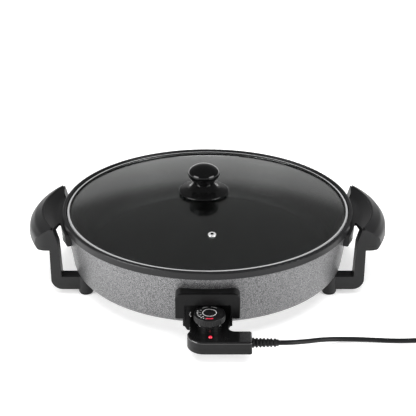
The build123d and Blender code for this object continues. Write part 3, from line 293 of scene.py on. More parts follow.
# ------------------------------------------------------------------ finishes
def hammered_paint(look):
    """Grey hammer finish: raised pale drops with dark veins between them."""
    paint = Paint("hammered_paint")
    wobble = paint.noise(look.drop_scale * 0.8, 2.0)
    shove = paint.node(
        "ShaderNodeVectorMath", {"operation": "SCALE"},
        {0: wobble.out("Color"), "Scale": 1.1 / look.drop_scale},
    )
    place = paint.node("ShaderNodeVectorMath", {"operation": "ADD"}, {0: paint.place, 1: shove})
    vein = paint.cells(look.drop_scale, "DISTANCE_TO_EDGE", place)
    drop = vein.step(0.02, 0.30)
    tone = paint.noise(look.drop_scale * 1.7, 2.0)
    cloud = paint.noise(9.0, 3.0)
    mask = drop * 0.62 + tone * 0.5 + cloud * 0.16 - 0.20
    colour = paint.mix(tuple(look.vein_colour), tuple(look.drop_colour), mask)
    rough = 0.34 - 0.08 * drop + 0.10 * cloud
    return paint.finish({
        "Base Color": colour,
        "Metallic": look.wall_metal,
        "Roughness": rough,
        "Normal": paint.bump(drop + tone * 0.35, 0.00009, strength=0.8),
    })


def coated_black(look):
    """Non-stick coat: nearly black, with pinhead flecks and faint turning rings below it."""
    paint = Paint("coated_black")
    radius = paint.around(PAN_AXIS)[2]
    rings = (radius * 2600.0).sin() * 0.5 + 0.5
    fleck = paint.cells(520.0).step(0.10, 0.17, 1.0, 0.0)
    patch = paint.noise(16.0, 4.0)
    rare = patch.step(0.35, 0.75)
    colour = paint.mix(tuple(look.coat_colour), grey(0.10), fleck * rare * 0.5)
    height = paint.noise(900.0, 2.0) + rings * 0.25
    return paint.finish({
        "Base Color": colour,
        "Roughness": 0.26 + 0.14 * patch + 0.04 * rings,
        "Specular IOR Level": 0.22,
        "Normal": paint.bump(height, 0.000018),
    })


def moulded(name, colour, rough, grain=1100.0, depth=0.00003, rubbed=0.35, shine=0.3):
    """Moulded plastic or rubber: spark-eroded grain, with faintly rubbed and greyed patches."""
    paint = Paint(name)
    fine = paint.noise(grain, 3.0)
    broad = paint.noise(17.0, 5.0, 0.6, warp=0.6)
    patch = broad.step(0.42, 0.72)
    mask = patch * rubbed + fine * 0.25
    return paint.finish({
        "Base Color": paint.mix(tinted(colour, 0.75), tinted(colour, 1.9), mask),
        "Roughness": rough + (broad - 0.5) * 0.16 + (fine - 0.5) * 0.10,
        "Specular IOR Level": shine,
        "Normal": paint.bump(fine, depth),
    })


def two_part_case(look):
    """Controller top: polished above its shoulder, spark-eroded down its side."""
    paint = Paint("two_part_case")
    black = tuple(look.plastic_colour)
    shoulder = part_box("lamp_lens")[1].z - look.shoulder
    polished = paint.height().step(shoulder, shoulder + SHOULDER_EDGE)
    fine = paint.noise(1500.0, 3.0)
    broad = paint.noise(19.0, 5.0, 0.6, warp=0.6)
    rubbed = broad.step(0.42, 0.72) * 0.35 + fine * 0.25
    side = paint.mix(tinted(black, 0.3), tinted(black, 0.9), rubbed)
    top = paint.mix(tinted(black, 0.25), tinted(black, 0.5), broad)
    return paint.finish({
        "Base Color": paint.mix(side, top, polished),
        "Roughness": 0.40 - polished * 0.20 + (broad - 0.5) * 0.10,
        "Specular IOR Level": 0.2 + polished * 0.2,
        "Coat Weight": polished * 0.5,
        "Coat Roughness": 0.05,
        "Normal": paint.bump(fine * (1.0 - polished * 0.95), 0.00004),
    })


def rolled(name, colour, rough, pull=(1.0, 1.0, 30.0), grain=60.0):
    """Bare metal: fine lines from rolling or polishing, and dull spots."""
    paint = Paint(name)
    lines = paint.noise(grain, 4.0, 0.65, paint.stretched(pull))
    dull = paint.noise(70.0, 4.0).step(0.5, 0.8)
    mask = lines * 0.7 + dull * 0.3
    return paint.finish({
        "Base Color": paint.mix(tinted(colour, 1.12), tinted(colour, 0.62), mask),
        "Metallic": 1.0,
        "Roughness": rough + lines * 0.12 + dull * 0.14,
        "Normal": paint.bump(lines, 0.00001),
    })


def polished_ring():
    """Stainless ring, brushed along its turn: bright shoulder, and its lip over the glass painted near
    black as a painted reflection of the dark room.
    """
    paint = Paint("polished_ring")
    across, _, radius = paint.around(PAN_AXIS)
    strip = paint.node(
        "ShaderNodeCombineXYZ", None,
        {"X": radius * 900.0, "Y": paint.height() * 900.0, "Z": across},
    )
    lines = paint.noise(1.0, 3.0, 0.6, strip)
    wiped = paint.noise(12.0, 3.0)
    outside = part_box("lid_ring")[1].x
    # Mask: 0 on the inner lip, which gets a painted dark reflection; 1 on the bright steel shoulder
    shoulder = radius.step(outside - RING_PAINTED_DARK, outside - RING_BRIGHT)
    steel = paint.mix(grey(0.92), (0.66, 0.67, 0.69, 1.0), lines * 0.5 + wiped * 0.25)
    return paint.finish({
        # grey(0.035) is the painted dark reflection on the lip, not a different metal
        "Base Color": paint.mix(grey(0.035), steel, shoulder),
        "Metallic": 0.6,
        "Roughness": 0.16 + lines * 0.10 + wiped * 0.06,
        "Normal": paint.bump(lines, 0.000008),
    })


def pressed_eyelet():
    """Bright pressed flange round the steam vent, its bore painted near black as painted shade."""
    paint = Paint("pressed_eyelet")
    radius = paint.around(middle("vent_eyelet"))[2]
    # Mask: 0 in the bore, which is painted shade; 1 on the bright steel flange
    flange = radius.step(EYELET_BORE_PAINTED_SHADE, EYELET_FLANGE)
    worn = paint.noise(900.0, 3.0)
    return paint.finish({
        # grey(0.01) is painted shade standing in for the dark inside of the vent hole
        "Base Color": paint.mix(grey(0.01), paint.mix(grey(0.92), grey(0.70), worn), flange),
        "Metallic": 0.6 * flange,
        "Roughness": 0.22 + 0.10 * worn,
        "Normal": paint.bump(worn, 0.000006),
    })


def clear_glass(look):
    """Tempered lid glass, faintly wiped."""
    paint = Paint("clear_glass")
    wiped = paint.noise(22.0, 4.0, 0.6, warp=1.2).step(0.5, 0.85)
    return paint.finish({
        "Base Color": paint.mix(tuple(look.glass_colour), tinted(look.glass_colour, 0.97), wiped),
        "Roughness": 0.004 + 0.03 * wiped,
        "IOR": 1.52,
        "Transmission Weight": 1.0,
    })


def lamp_glass(look):
    """Red pilot lens over a small lamp, ribbed inside."""
    paint = Paint("lamp_glass")
    radius = paint.around(middle("lamp_lens"))[2]
    ribs = (radius * 7000.0).sin() * 0.5 + 0.5
    return paint.finish({
        "Base Color": paint.mix(tuple(look.lamp_colour), tinted(look.lamp_colour, 0.45), ribs * 0.6),
        "Roughness": 0.14 + 0.06 * ribs,
        "Emission Color": tuple(look.lamp_colour),
        "Emission Strength": look.lamp_glow,
        "Coat Weight": 0.6,
    })


def printed_scale(look):
    """Black dial plate: white inner ring, two arcs behind, ticks at the left, red field in front."""
    paint = Paint("printed_scale")
    across, along, radius = paint.around(DIAL_AXIS)

    def band(reach, half):
        return abs(radius - reach).step(half, half + INK_EDGE, 1.0, 0.0)

    def sector(spread, half):
        return spread.step(half, half + SECTOR_EDGE, 1.0, 0.0)

    ring = band(*INNER_RING)
    outer = band(*OUTER_ARCS)
    angle = paint.node("ShaderNodeMath", {"operation": "ARCTAN2"}, {0: across, 1: along})
    behind = sector(abs(abs(angle) - ARC_MIDDLE), ARC_HALF)
    low_left = sector(abs(angle - TICKS_MIDDLE), TICKS_HALF)
    spokes = (angle * TICKS_PER_RADIAN).sin().step(0.55, 0.75)
    ticks = band(*TICK_ROW) * spokes * low_left
    front = sector(math.pi - abs(angle), FIELD_HALF)
    field = band(*HOT_FIELD) * front
    dust = paint.noise(700.0, 3.0)
    white = ring + outer * behind + ticks
    worn_ink = white * (0.75 + dust * 0.25)
    inked = paint.mix(tinted(look.plastic_colour, 0.5), tuple(look.print_colour), worn_ink)
    colour = paint.mix(inked, tuple(look.warning_colour), field)
    return paint.finish({
        "Base Color": colour,
        "Roughness": 0.30 + 0.12 * dust + 0.12 * white,
        "Normal": paint.bump(white + dust * 0.1, 0.00003),
    })


def glazed(name, colour):
    """White steatite, fired and slightly speckled."""
    paint = Paint(name)
    speck = paint.noise(1500.0, 2.0).step(0.62, 0.74)
    return paint.finish({
        "Base Color": paint.mix(colour, tinted(colour, 0.7), speck),
        "Roughness": 0.42 + 0.2 * speck,
        "Normal": paint.bump(speck, 0.00001),
    })


def pale_floor(look):
    """Studio paper."""
    paint = Paint("pale_floor")
    fibre = paint.noise(400.0, 3.0)
    return paint.finish({
        "Base Color": paint.mix(tuple(look.floor_colour), tinted(look.floor_colour, 0.985), fibre),
        "Roughness": 0.85,
        "Specular IOR Level": 0.1,
        "Emission Color": WHITE,
        "Emission Strength": look.floor_glow,
    })


MADE = {}


def finish(name):
    """A finish by its name, made once."""
    if name not in MADE:
        look = bpy.context.scene.pan_look
        black = tuple(look.plastic_colour)
        rubber = tuple(look.rubber_colour)
        makers = {
            "hammertone": lambda: hammered_paint(look),
            "nonstick": lambda: coated_black(look),
            "zinc_sheet": lambda: rolled("zinc_sheet", grey(0.42), 0.36, (25.0, 1.0, 1.0)),
            "cast_aluminium": lambda: rolled("cast_aluminium", grey(0.50), 0.45, (1.0, 1.0, 1.0), 260.0),
            "element_steel": lambda: rolled("element_steel", (0.20, 0.19, 0.18, 1.0), 0.42),
            "pin_steel": lambda: rolled("pin_steel", (0.62, 0.61, 0.58, 1.0), 0.20, (1.0, 20.0, 1.0)),
            "phenolic": lambda: moulded(
                "phenolic", tinted(black, 0.8), 0.40, 1300.0, 0.00004, shine=0.25
            ),
            # A darker copy of the handles' phenolic: its extra darkness is painted shade, because the
            # guard sits in more shade than the handles
            "guard_black": lambda: moulded(
                "guard_black", tinted(black, 0.2), 0.30, 1300.0, 0.00002, shine=0.14
            ),
            "knob_gloss": lambda: moulded(
                "knob_gloss", tinted(black, 0.25), 0.10, 500.0, 0.000001, rubbed=0.2, shine=0.22
            ),
            "screw_steel": lambda: rolled("screw_steel", grey(0.46), 0.30),
            "lid_glass": lambda: clear_glass(look),
            "ring_steel": polished_ring,
            "vent_steel": pressed_eyelet,
            "silicone": lambda: moulded("silicone", grey(0.05), 0.55, 900.0),
            "case_gloss": lambda: two_part_case(look),
            "case_satin": lambda: moulded(
                "case_satin", tinted(black, 0.3), 0.38, 1500.0, 0.00003, shine=0.2
            ),
            "dial_black": lambda: moulded(
                "dial_black", tinted(black, 0.45), 0.30, 1400.0, 0.00002, shine=0.2
            ),
            "dial_print": lambda: printed_scale(look),
            "brass": lambda: rolled("brass", (0.66, 0.47, 0.20, 1.0), 0.26),
            "ceramic": lambda: glazed("ceramic", (0.80, 0.78, 0.72, 1.0)),
            "lamp_red": lambda: lamp_glass(look),
            "neon_glass": lambda: glazed("neon_glass", (0.75, 0.50, 0.40, 1.0)),
            "rubber_black": lambda: moulded("rubber_black", rubber, 0.42, 1200.0, 0.00003, shine=0.14),
            "wire_jacket": lambda: moulded("wire_jacket", (0.30, 0.16, 0.05, 1.0), 0.45),
            "white_ink": lambda: moulded(
                "white_ink", tuple(look.print_colour), 0.5, 1500.0, 0.00001, rubbed=0.1
            ),
            "floor": lambda: pale_floor(look),
        }
        MADE[name] = makers[name]()
    return MADE[name]


def dress(*nodes, name=None):
    """Gives CAD nodes a finish: their own material slot's, or the one named."""
    slots = {part["node"]: part["material_slot"] for part in frame["record"]["subparts"]}
    for node in nodes:
        piece = frame["nodes"][node]
        piece.data.materials.clear()
        piece.data.materials.append(finish(name or slots[node]))


# ------------------------------------------------------------------ making pieces
def new_piece(name, mesh, body, finish_name):
    """Links a mesh, in one finish, as a piece that rides on a body."""
    piece = bpy.data.objects.new(name, mesh)
    bpy.context.scene.collection.objects.link(piece)
    mesh.materials.clear()
    mesh.materials.append(finish(finish_name))
    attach(piece, body)
    return piece


def tidy_mesh(mesh):
    """Merges doubles and turns the faces outwards."""
    form = bmesh.new()
    form.from_mesh(mesh)
    bmesh.ops.remove_doubles(form, verts=form.verts, dist=1e-6)
    bmesh.ops.recalc_face_normals(form, faces=form.faces)
    form.to_mesh(mesh)
    form.free()


def soften(mesh, corner=35.0):
    """Smooth shading that keeps corners sharper than an angle in degrees."""
    mesh.shade_smooth()
    mesh.set_sharp_from_angle(angle=math.radians(corner))


def plain_mesh(source):
    """The evaluated shape of an object as a mesh; the object is removed."""
    bpy.context.view_layer.update()
    graph = bpy.context.evaluated_depsgraph_get()
    mesh = bpy.data.meshes.new_from_object(source.evaluated_get(graph), depsgraph=graph)
    bpy.data.objects.remove(source)
    return mesh


class Growth(Recipe):
    """A Geometry Nodes tree in the making. Its inputs are named sizes."""

    KINDS = {int: "Int", float: "Float", Vector: "Vector", str: "Material"}

    def __init__(self, name, sizes):
        group = bpy.data.node_groups.new(name, "GeometryNodeTree")
        super().__init__(group)
        face = group.interface
        face.new_socket("Geometry", in_out="INPUT", socket_type="NodeSocketGeometry")
        self.keys = {}
        for label, value in sizes.items():
            kind = "NodeSocket" + self.KINDS[type(value)]
            self.keys[label] = face.new_socket(label, in_out="INPUT", socket_type=kind).identifier
        face.new_socket("Geometry", in_out="OUTPUT", socket_type="NodeSocketGeometry")
        self.sizes = sizes
        self.inlet = self.node("NodeGroupInput")

    def size(self, label):
        return self.inlet.out(self.keys[label])

    def vector(self, x=0.0, y=0.0, z=0.0):
        return self.node("ShaderNodeCombineXYZ", None, {"X": x, "Y": y, "Z": z})

    def close(self, shape):
        """Ends the tree: real geometry with its material."""
        real = self.node("GeometryNodeRealizeInstances", None, {"Geometry": shape})
        coated = self.node(
            "GeometryNodeSetMaterial", None, {"Geometry": real, "Material": self.size("Finish")}
        )
        self.node("NodeGroupOutput", None, {"Geometry": coated})

    def grow(self, base=None):
        """Runs the tree on a mesh and returns the result as a plain mesh."""
        holder = bpy.data.objects.new("holder", base or bpy.data.meshes.new("seed"))
        bpy.context.scene.collection.objects.link(holder)
        modifier = holder.modifiers.new("growth", "NODES")
        modifier.node_group = self.tree
        for label, value in self.sizes.items():
            modifier[self.keys[label]] = finish(value) if isinstance(value, str) else value
        mesh = plain_mesh(holder)
        tidy_mesh(mesh)
        soften(mesh)
        return mesh


def flutes(sizes):
    """Upright half-round flutes set round an axis."""
    growth = Growth("flutes", sizes)
    turn = growth.node("GeometryNodeInputIndex") * growth.size("Step") + growth.size("First")
    reach = growth.size("Radius")
    spots = growth.node("GeometryNodeMeshLine", None, {"Count": growth.size("Count")})
    spread = growth.node("GeometryNodeSetPosition", None, {
        "Geometry": spots,
        "Position": growth.vector(turn.cos() * reach, turn.sin() * reach, 0.0),
    })
    bar = growth.node("GeometryNodeMeshCylinder", None, {
        "Vertices": 10, "Radius": growth.size("Thickness"), "Depth": growth.size("Height"),
    })
    set_round = growth.node("GeometryNodeInstanceOnPoints", None, {
        "Points": spread, "Instance": bar, "Rotation": growth.vector(0.0, 0.0, turn),
    })
    placed = growth.node("GeometryNodeTransform", None, {
        "Geometry": set_round, "Translation": growth.size("Centre"),
    })
    growth.close(placed)
    return growth.grow()


def strain_relief(sizes):
    """Rings along a line, smaller towards the far end, joined by bars turned a quarter each time."""
    growth = Growth("strain_relief", sizes)
    index = growth.node("GeometryNodeInputIndex")
    pitch = growth.size("Pitch")
    taper = 1.0 - index * growth.size("Taper")
    row = growth.node("GeometryNodeMeshLine", None, {
        "Count": growth.size("Rings"), "Offset": growth.vector(pitch, 0.0, 0.0),
    })
    hoop = growth.node("GeometryNodeCurvePrimitiveCircle", None, {
        "Resolution": 40, "Radius": growth.size("Ring radius"),
    })
    lip = growth.node("GeometryNodeCurvePrimitiveCircle", None, {
        "Resolution": 14, "Radius": growth.size("Ring thickness"),
    })
    ring = growth.node("GeometryNodeCurveToMesh", None, {"Curve": hoop, "Profile Curve": lip})
    upright = growth.node("GeometryNodeTransform", None, {
        "Geometry": ring, "Rotation": (0.0, math.pi / 2, 0.0),
    })
    rings = growth.node("GeometryNodeInstanceOnPoints", None, {
        "Points": row, "Instance": upright, "Scale": growth.vector(1.0, taper, taper),
    })
    bar = growth.node("GeometryNodeMeshCube", None, {
        "Size": growth.vector(pitch, growth.size("Bar width"), growth.size("Ring radius") * 2.0),
    })
    shifted = growth.node("GeometryNodeTransform", None, {
        "Geometry": bar, "Translation": growth.vector(pitch * 0.5, 0.0, 0.0),
    })
    bars = growth.node("GeometryNodeInstanceOnPoints", None, {
        "Points": row, "Instance": shifted, "Scale": growth.vector(1.0, taper, taper),
        "Rotation": growth.vector(index * (math.pi / 2), 0.0, 0.0),
    })
    whole = growth.node("GeometryNodeJoinGeometry", None, {"Geometry": rings})
    growth.tree.links.new(bars.socket, whole.socket.node.inputs[0])
    placed = growth.node("GeometryNodeTransform", None, {
        "Geometry": whole, "Translation": growth.size("Start"),
    })
    growth.close(placed)
    return growth.grow()


def lathe(profile, sizes):
    """Turns a closed profile of (radius, height) points about an upright axis."""
    growth = Growth("lathe", sizes)
    rows = growth.size("Segments") + 1
    count = growth.node(
        "GeometryNodeAttributeDomainSize", None, {"Geometry": growth.inlet}, "Point Count"
    )
    index = growth.node("GeometryNodeInputIndex")
    station = (index / rows).floor()
    turn = (index % rows) * (2 * math.pi) / growth.size("Segments")
    point = growth.node(
        "GeometryNodeSampleIndex",
        {"data_type": "FLOAT_VECTOR"},
        {"Geometry": growth.inlet, "Value": growth.node("GeometryNodeInputPosition"), "Index": station},
        "Value",
    )
    parts = growth.node("ShaderNodeSeparateXYZ", None, {0: point})
    reach = parts.out("X")
    net = growth.node("GeometryNodeMeshGrid", None, {"Vertices X": count, "Vertices Y": rows})
    turned = growth.node("GeometryNodeSetPosition", None, {
        "Geometry": net,
        "Position": growth.vector(turn.cos() * reach, turn.sin() * reach, parts.out("Z")),
    })
    placed = growth.node("GeometryNodeTransform", None, {
        "Geometry": turned, "Translation": growth.size("Centre"),
    })
    merged = growth.node("GeometryNodeMergeByDistance", None, {"Geometry": placed, "Distance": 2e-6})
    growth.close(merged)
    line = bpy.data.meshes.new("profile")
    line.from_pydata([(radius, 0.0, height) for radius, height in profile], [], [])
    return growth.grow(line)


# ------------------------------------------------------------------ what a user may change
def colour(name, description, default):
    return bpy.props.FloatVectorProperty(
        name=name, description=description, default=default, size=4, subtype="COLOR", min=0.0, max=1.0
    )


def length(name, description, default):
    return bpy.props.FloatProperty(
        name=name, description=description, default=default, subtype="DISTANCE", unit="LENGTH", precision=5
    )


class PanLook(bpy.types.PropertyGroup):
    """Colours and finishes."""

    drop_colour: colour("Drops", "Raised drops of the hammered paint", (0.335, 0.335, 0.34, 1.0))
    vein_colour: colour("Veins", "Dark veins of the hammered paint", (0.045, 0.045, 0.0465, 1.0))
    drop_scale: bpy.props.FloatProperty(
        name="Drops per metre", description="How fine the hammered paint is", default=560.0, min=50.0
    )
    wall_metal: bpy.props.FloatProperty(
        name="Metal in paint", description="Share of metal flake in the hammered paint",
        default=0.70, min=0.0, max=1.0, subtype="FACTOR",
    )
    coat_colour: colour("Coat", "Non-stick coat", (0.009, 0.009, 0.0095, 1.0))
    plastic_colour: colour("Plastic", "Handles, guard and controller", (0.0125, 0.0125, 0.013, 1.0))
    rubber_colour: colour("Rubber", "Cord, boot and feet", (0.007, 0.007, 0.0073, 1.0))
    glass_colour: colour("Glass", "Smoked lid glass", (0.62, 0.64, 0.63, 1.0))
    print_colour: colour("Print", "White marks of the dial", (0.72, 0.72, 0.72, 1.0))
    warning_colour: colour("Hot mark", "Red field of the dial", (0.55, 0.02, 0.05, 1.0))
    lamp_colour: colour("Lamp", "Pilot lens", (0.75, 0.02, 0.05, 1.0))
    lamp_glow: bpy.props.FloatProperty(
        name="Lamp glow", description="How strongly the pilot lens shines", default=0.55, min=0.0
    )
    floor_colour: colour("Floor", "Studio paper", (0.90, 0.90, 0.90, 1.0))
    floor_glow: bpy.props.FloatProperty(
        name="Floor glow", description="Light through the studio paper from below", default=0.35, min=0.0
    )
    shoulder: length("Shoulder", "From the top of the pilot lens down to the polished shoulder", 0.0043)


class PanStage(bpy.types.PropertyGroup):
    """Camera and light."""

    distance: length("Distance", "From the middle of the rim to the camera", 1.6015)
    elevation: bpy.props.FloatProperty(
        name="Elevation", description="Camera above the level of the rim",
        default=math.radians(25.13), subtype="ANGLE", unit="ROTATION",
    )
    lens: bpy.props.FloatProperty(
        name="Lens", description="Focal length on a 36 mm frame", default=95.19, unit="CAMERA"
    )
    shift: bpy.props.FloatVectorProperty(
        name="Shift", description="Shift of the frame", default=(0.0009, -0.0110), size=2
    )
    overhead: bpy.props.FloatProperty(
        name="Overhead", description="Strength of the broad overhead light", default=3.1, min=0.0
    )
    side_light: bpy.props.FloatProperty(
        name="Side boxes", description="Power of each side softbox", default=26.0, min=0.0, unit="POWER"
    )


class PanLid(bpy.types.PropertyGroup):
    """Lid glass."""

    radius: length("Glass radius", "Outside of the glass", 0.201)
    sphere: length("Dome radius", "Radius of the dome", 0.890)
    top: length("Dome top", "Height of the middle of the dome above the table", 0.127)
    thickness: length("Thickness", "Thickness of the glass", 0.004)


class PanDial(bpy.types.PropertyGroup):
    """Grip and marks of the dial."""

    flutes: bpy.props.IntProperty(
        name="Flutes", description="Grip flutes round the dial", default=40, min=3
    )
    flute_radius: length("Flute radius", "Radius of one grip flute", 0.0009)
    figure_height: length("Figures", "Height of the figures", 0.0034)
    figure_reach: length("Figure reach", "From the middle of the dial to the figures", 0.0125)


class PanCord(bpy.types.PropertyGroup):
    """Mains cord and its boot."""

    diameter: length("Diameter", "Cord diameter", 0.0065)
    length: length("Length", "Whole cord", 1.16)
    turns: bpy.props.FloatProperty(name="Turns", description="Turns of the stored coil", default=3.25)
    outer: length("Outer turn", "Radius of the outer turns", 0.04335)
    inner: length("Inner turn", "Radius of the inner turns", 0.03665)
    low: length("Lower layer", "Height of the lower turns", 0.0043)
    high: length("Upper layer", "Height of the upper turns", 0.0110)
    rings: bpy.props.IntProperty(
        name="Boot rings", description="Rings of the strain relief", default=7, min=2
    )


# ------------------------------------------------------------------ camera, light and floor
class PARTY_PAN_OT_stage(bpy.types.Operator):
    """Sets up the camera, the studio light and the pale floor"""

    bl_idname = "party_pan.stage"
    bl_label = "Stage"

    def execute(self, context):
        stage = context.scene.pan_stage
        context.scene.view_settings.view_transform = "Standard"
        target = Vector((PAN_AXIS.x, PAN_AXIS.y, RIM_TOP))
        lens = bpy.data.cameras.new("camera")
        lens.lens = stage.lens
        lens.sensor_width = SENSOR_WIDTH
        lens.shift_x, lens.shift_y = stage.shift
        lens.clip_start = NEAREST
        camera = bpy.data.objects.new("camera", lens)
        context.scene.collection.objects.link(camera)
        lean = stage.elevation
        camera.location = target + Vector((0.0, -math.cos(lean), math.sin(lean))) * stage.distance
        camera.rotation_euler = (math.pi / 2 - lean, 0.0, 0.0)
        context.scene.camera = camera

        overhead = bpy.data.lights.new("overhead", "SUN")
        overhead.energy = stage.overhead
        overhead.angle = OVERHEAD_SPREAD
        lamp = bpy.data.objects.new("overhead", overhead)
        lamp.visible_glossy = False
        context.scene.collection.objects.link(lamp)
        for side, share in BOX_SHARES:
            self.softbox(context, side, stage.side_light * share)
        self.sky(context)

        paper = bpy.data.meshes.new("floor")
        turns = ((-1, -1), (1, -1), (1, 1), (-1, 1))
        paper.from_pydata([(x * FLOOR_REACH, y * FLOOR_REACH, 0.0) for x, y in turns], [], [(0, 1, 2, 3)])
        paper.materials.append(finish("floor"))
        floor = bpy.data.objects.new("floor", paper)
        context.scene.collection.objects.link(floor)
        return {"FINISHED"}

    def softbox(self, context, side, power):
        """A wide low softbox to one side of the camera."""
        away = Vector((
            side * math.sin(BOX_TURN) * math.cos(BOX_RISE),
            -math.cos(BOX_TURN) * math.cos(BOX_RISE),
            math.sin(BOX_RISE),
        ))
        light = bpy.data.lights.new("softbox", "AREA")
        light.shape = "RECTANGLE"
        light.size = BOX_WIDTH
        light.size_y = BOX_HEIGHT
        light.energy = power
        lamp = bpy.data.objects.new("softbox", light)
        context.scene.collection.objects.link(lamp)
        lamp.location = PAN_AXIS + away * BOX_AWAY
        lamp.rotation_euler = away.to_track_quat("Z", "Y").to_euler()

    def sky(self, context):
        """Grey room with a bright paper backdrop behind, fading out some twenty degrees up."""
        world = bpy.data.worlds.new("studio")
        context.scene.world = world
        world.use_nodes = True
        world.node_tree.nodes.clear()
        room = Recipe(world.node_tree)
        view = room.node("ShaderNodeTexCoord", output="Generated")
        way = room.node("ShaderNodeSeparateXYZ", None, {0: view})
        across, along, up = way.out("X"), way.out("Y"), way.out("Z")
        level = (across * across + along * along + 0.0001).power(0.5)
        behind = (along / level).step(0.80, 0.90)
        low = up.step(BACKDROP_FULL, BACKDROP_END, 1.0, 0.0)
        glow = up.step(0.0, 0.7, ROOM_LOW, ROOM_HIGH) + behind * low * BACKDROP_GLOW
        light = room.node("ShaderNodeBackground", None, {"Color": WHITE, "Strength": glow})
        room.node("ShaderNodeOutputWorld", None, {"Surface": light})


# ------------------------------------------------------------------ cord, boot and plug
# The cord's way from the boot to the stored coil, then from the coil up to the plug
CORD_OUT = (
    (0.0880, -0.2210, 0.0260),
    (0.1000, -0.2210, 0.0260),
    (0.1140, -0.2168, 0.0240),
    (0.1300, -0.2050, 0.0180),
    (0.1520, -0.1870, 0.0095),
    (0.1800, -0.1780, 0.0046),
    (0.2140, -0.1775, 0.0033),
    (0.2500, -0.1810, 0.0033),
    (0.2860, -0.1795, 0.0036),
    (0.3120, -0.17785, 0.0043),
    (0.3290, -0.17785, 0.0043),
)
CORD_UP = (
    (0.38835, -0.1185, 0.0110),
    (0.38865, -0.1005, 0.0120),
    (0.38895, -0.0815, 0.0166),
    (0.38835, -0.0625, 0.0186),
)
COIL_MIDDLE = (0.345, -0.1345)
TURN_STEPS = 16
ON_CORD = ("cord_tie", "plug_body", "plug_pins", "plug_earths")

# Boot, in metres: thickness and taper of its rings, width of its bars, radii and end of its core
BOOT_LIP = 0.00150
BOOT_TAPER = 0.026
BOOT_BAR = 0.0030
CORE_ROOT, CORE_NECK, CORE_TIP = 0.0047, 0.0040, 0.0036
CORE_ROUNDING = 0.0004


def between(value, stations):
    """Straight-line value from (position, value) stations."""
    for (first, low), (last, high) in zip(stations, stations[1:]):
        if value <= last:
            return low + (high - low) * max(0.0, value - first) / (last - first)
    return stations[-1][1]


def coil_points(cord):
    """Points of the stored turns: outer and inner ones on the table, then inner and outer above."""
    inward = ((0.0, cord.outer), (0.87, cord.outer), (1.0, cord.inner), (2.40, cord.inner),
              (2.64, cord.outer), (cord.turns, cord.outer))
    upward = ((0.0, cord.low), (1.68, cord.low), (1.87, cord.high), (cord.turns, cord.high))
    swell = 1.0 / math.cos(math.pi / TURN_STEPS)
    points = []
    for number in range(int(cord.turns * TURN_STEPS)):
        gone = (number + 0.5) / TURN_STEPS
        turn = 2 * math.pi * gone - math.pi / 2
        radius = between(gone, inward) * swell
        points.append((
            COIL_MIDDLE[0] + radius * math.cos(turn),
            COIL_MIDDLE[1] + radius * math.sin(turn),
            between(gone, upward),
        ))
    return points


class PARTY_PAN_OT_cord(bpy.types.Operator):
    """Lays the mains cord with its stored coil, tie and plug"""

    bl_idname = "party_pan.cord"
    bl_label = "Cord"

    def execute(self, context):
        cord = context.scene.pan_cord
        points = [*CORD_OUT, *coil_points(cord), *CORD_UP]
        curve = bpy.data.curves.new("mains_cord", "CURVE")
        curve.dimensions = "3D"
        curve.resolution_u = 6
        curve.bevel_depth = cord.diameter / 2
        curve.bevel_resolution = 6
        curve.use_fill_caps = True
        line = curve.splines.new("NURBS")
        line.points.add(len(points) - 1)
        for spot, place in zip(line.points, points):
            spot.co = (*place, 1.0)
        line.order_u = 3
        line.use_endpoint_u = True
        curve.materials.append(finish("rubber_black"))
        piece = bpy.data.objects.new("mains_cord", curve)
        context.scene.collection.objects.link(piece)
        dress(*ON_CORD)
        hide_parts("cord_tube", "cord_coil", "cord_tail")
        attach(piece, "controller")
        return {"FINISHED"}


class PARTY_PAN_OT_boot(bpy.types.Operator):
    """Moulds the ribbed strain relief where the cord leaves the controller"""

    bl_idname = "party_pan.boot"
    bl_label = "Boot"

    def execute(self, context):
        cord = context.scene.pan_cord
        low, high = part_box("cord_boot")
        centre = (low + high) / 2
        case_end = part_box("case_base")[1].x
        ring = (high.z - low.z) / 2
        pitch = (high.x - case_end - 2 * BOOT_LIP) / (cord.rings - 1)
        rings = strain_relief({
            "Rings": cord.rings,
            "Pitch": pitch,
            "Taper": BOOT_TAPER,
            "Ring radius": ring - BOOT_LIP,
            "Ring thickness": BOOT_LIP,
            "Bar width": BOOT_BAR,
            "Start": Vector((case_end + BOOT_LIP, centre.y, centre.z)),
            "Finish": "rubber_black",
        })
        core = lathe(
            [(0.0, low.x), (CORE_ROOT, low.x), (CORE_ROOT, case_end),
             (CORE_NECK, high.x - CORE_ROUNDING), (CORE_TIP, high.x), (0.0, high.x)],
            {"Segments": 32, "Centre": Vector((0.0, 0.0, 0.0)), "Finish": "rubber_black"},
        )
        lay_down = Matrix.Translation((0.0, centre.y, centre.z)) @ Matrix.Rotation(math.pi / 2, 4, "Y")
        core.transform(lay_down)
        piece = new_piece("strain_relief", rings, "controller", "rubber_black")
        inner = new_piece("boot_core", core, "controller", "rubber_black")
        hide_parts("cord_boot")
        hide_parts("cord_boot")
        return {"FINISHED"}


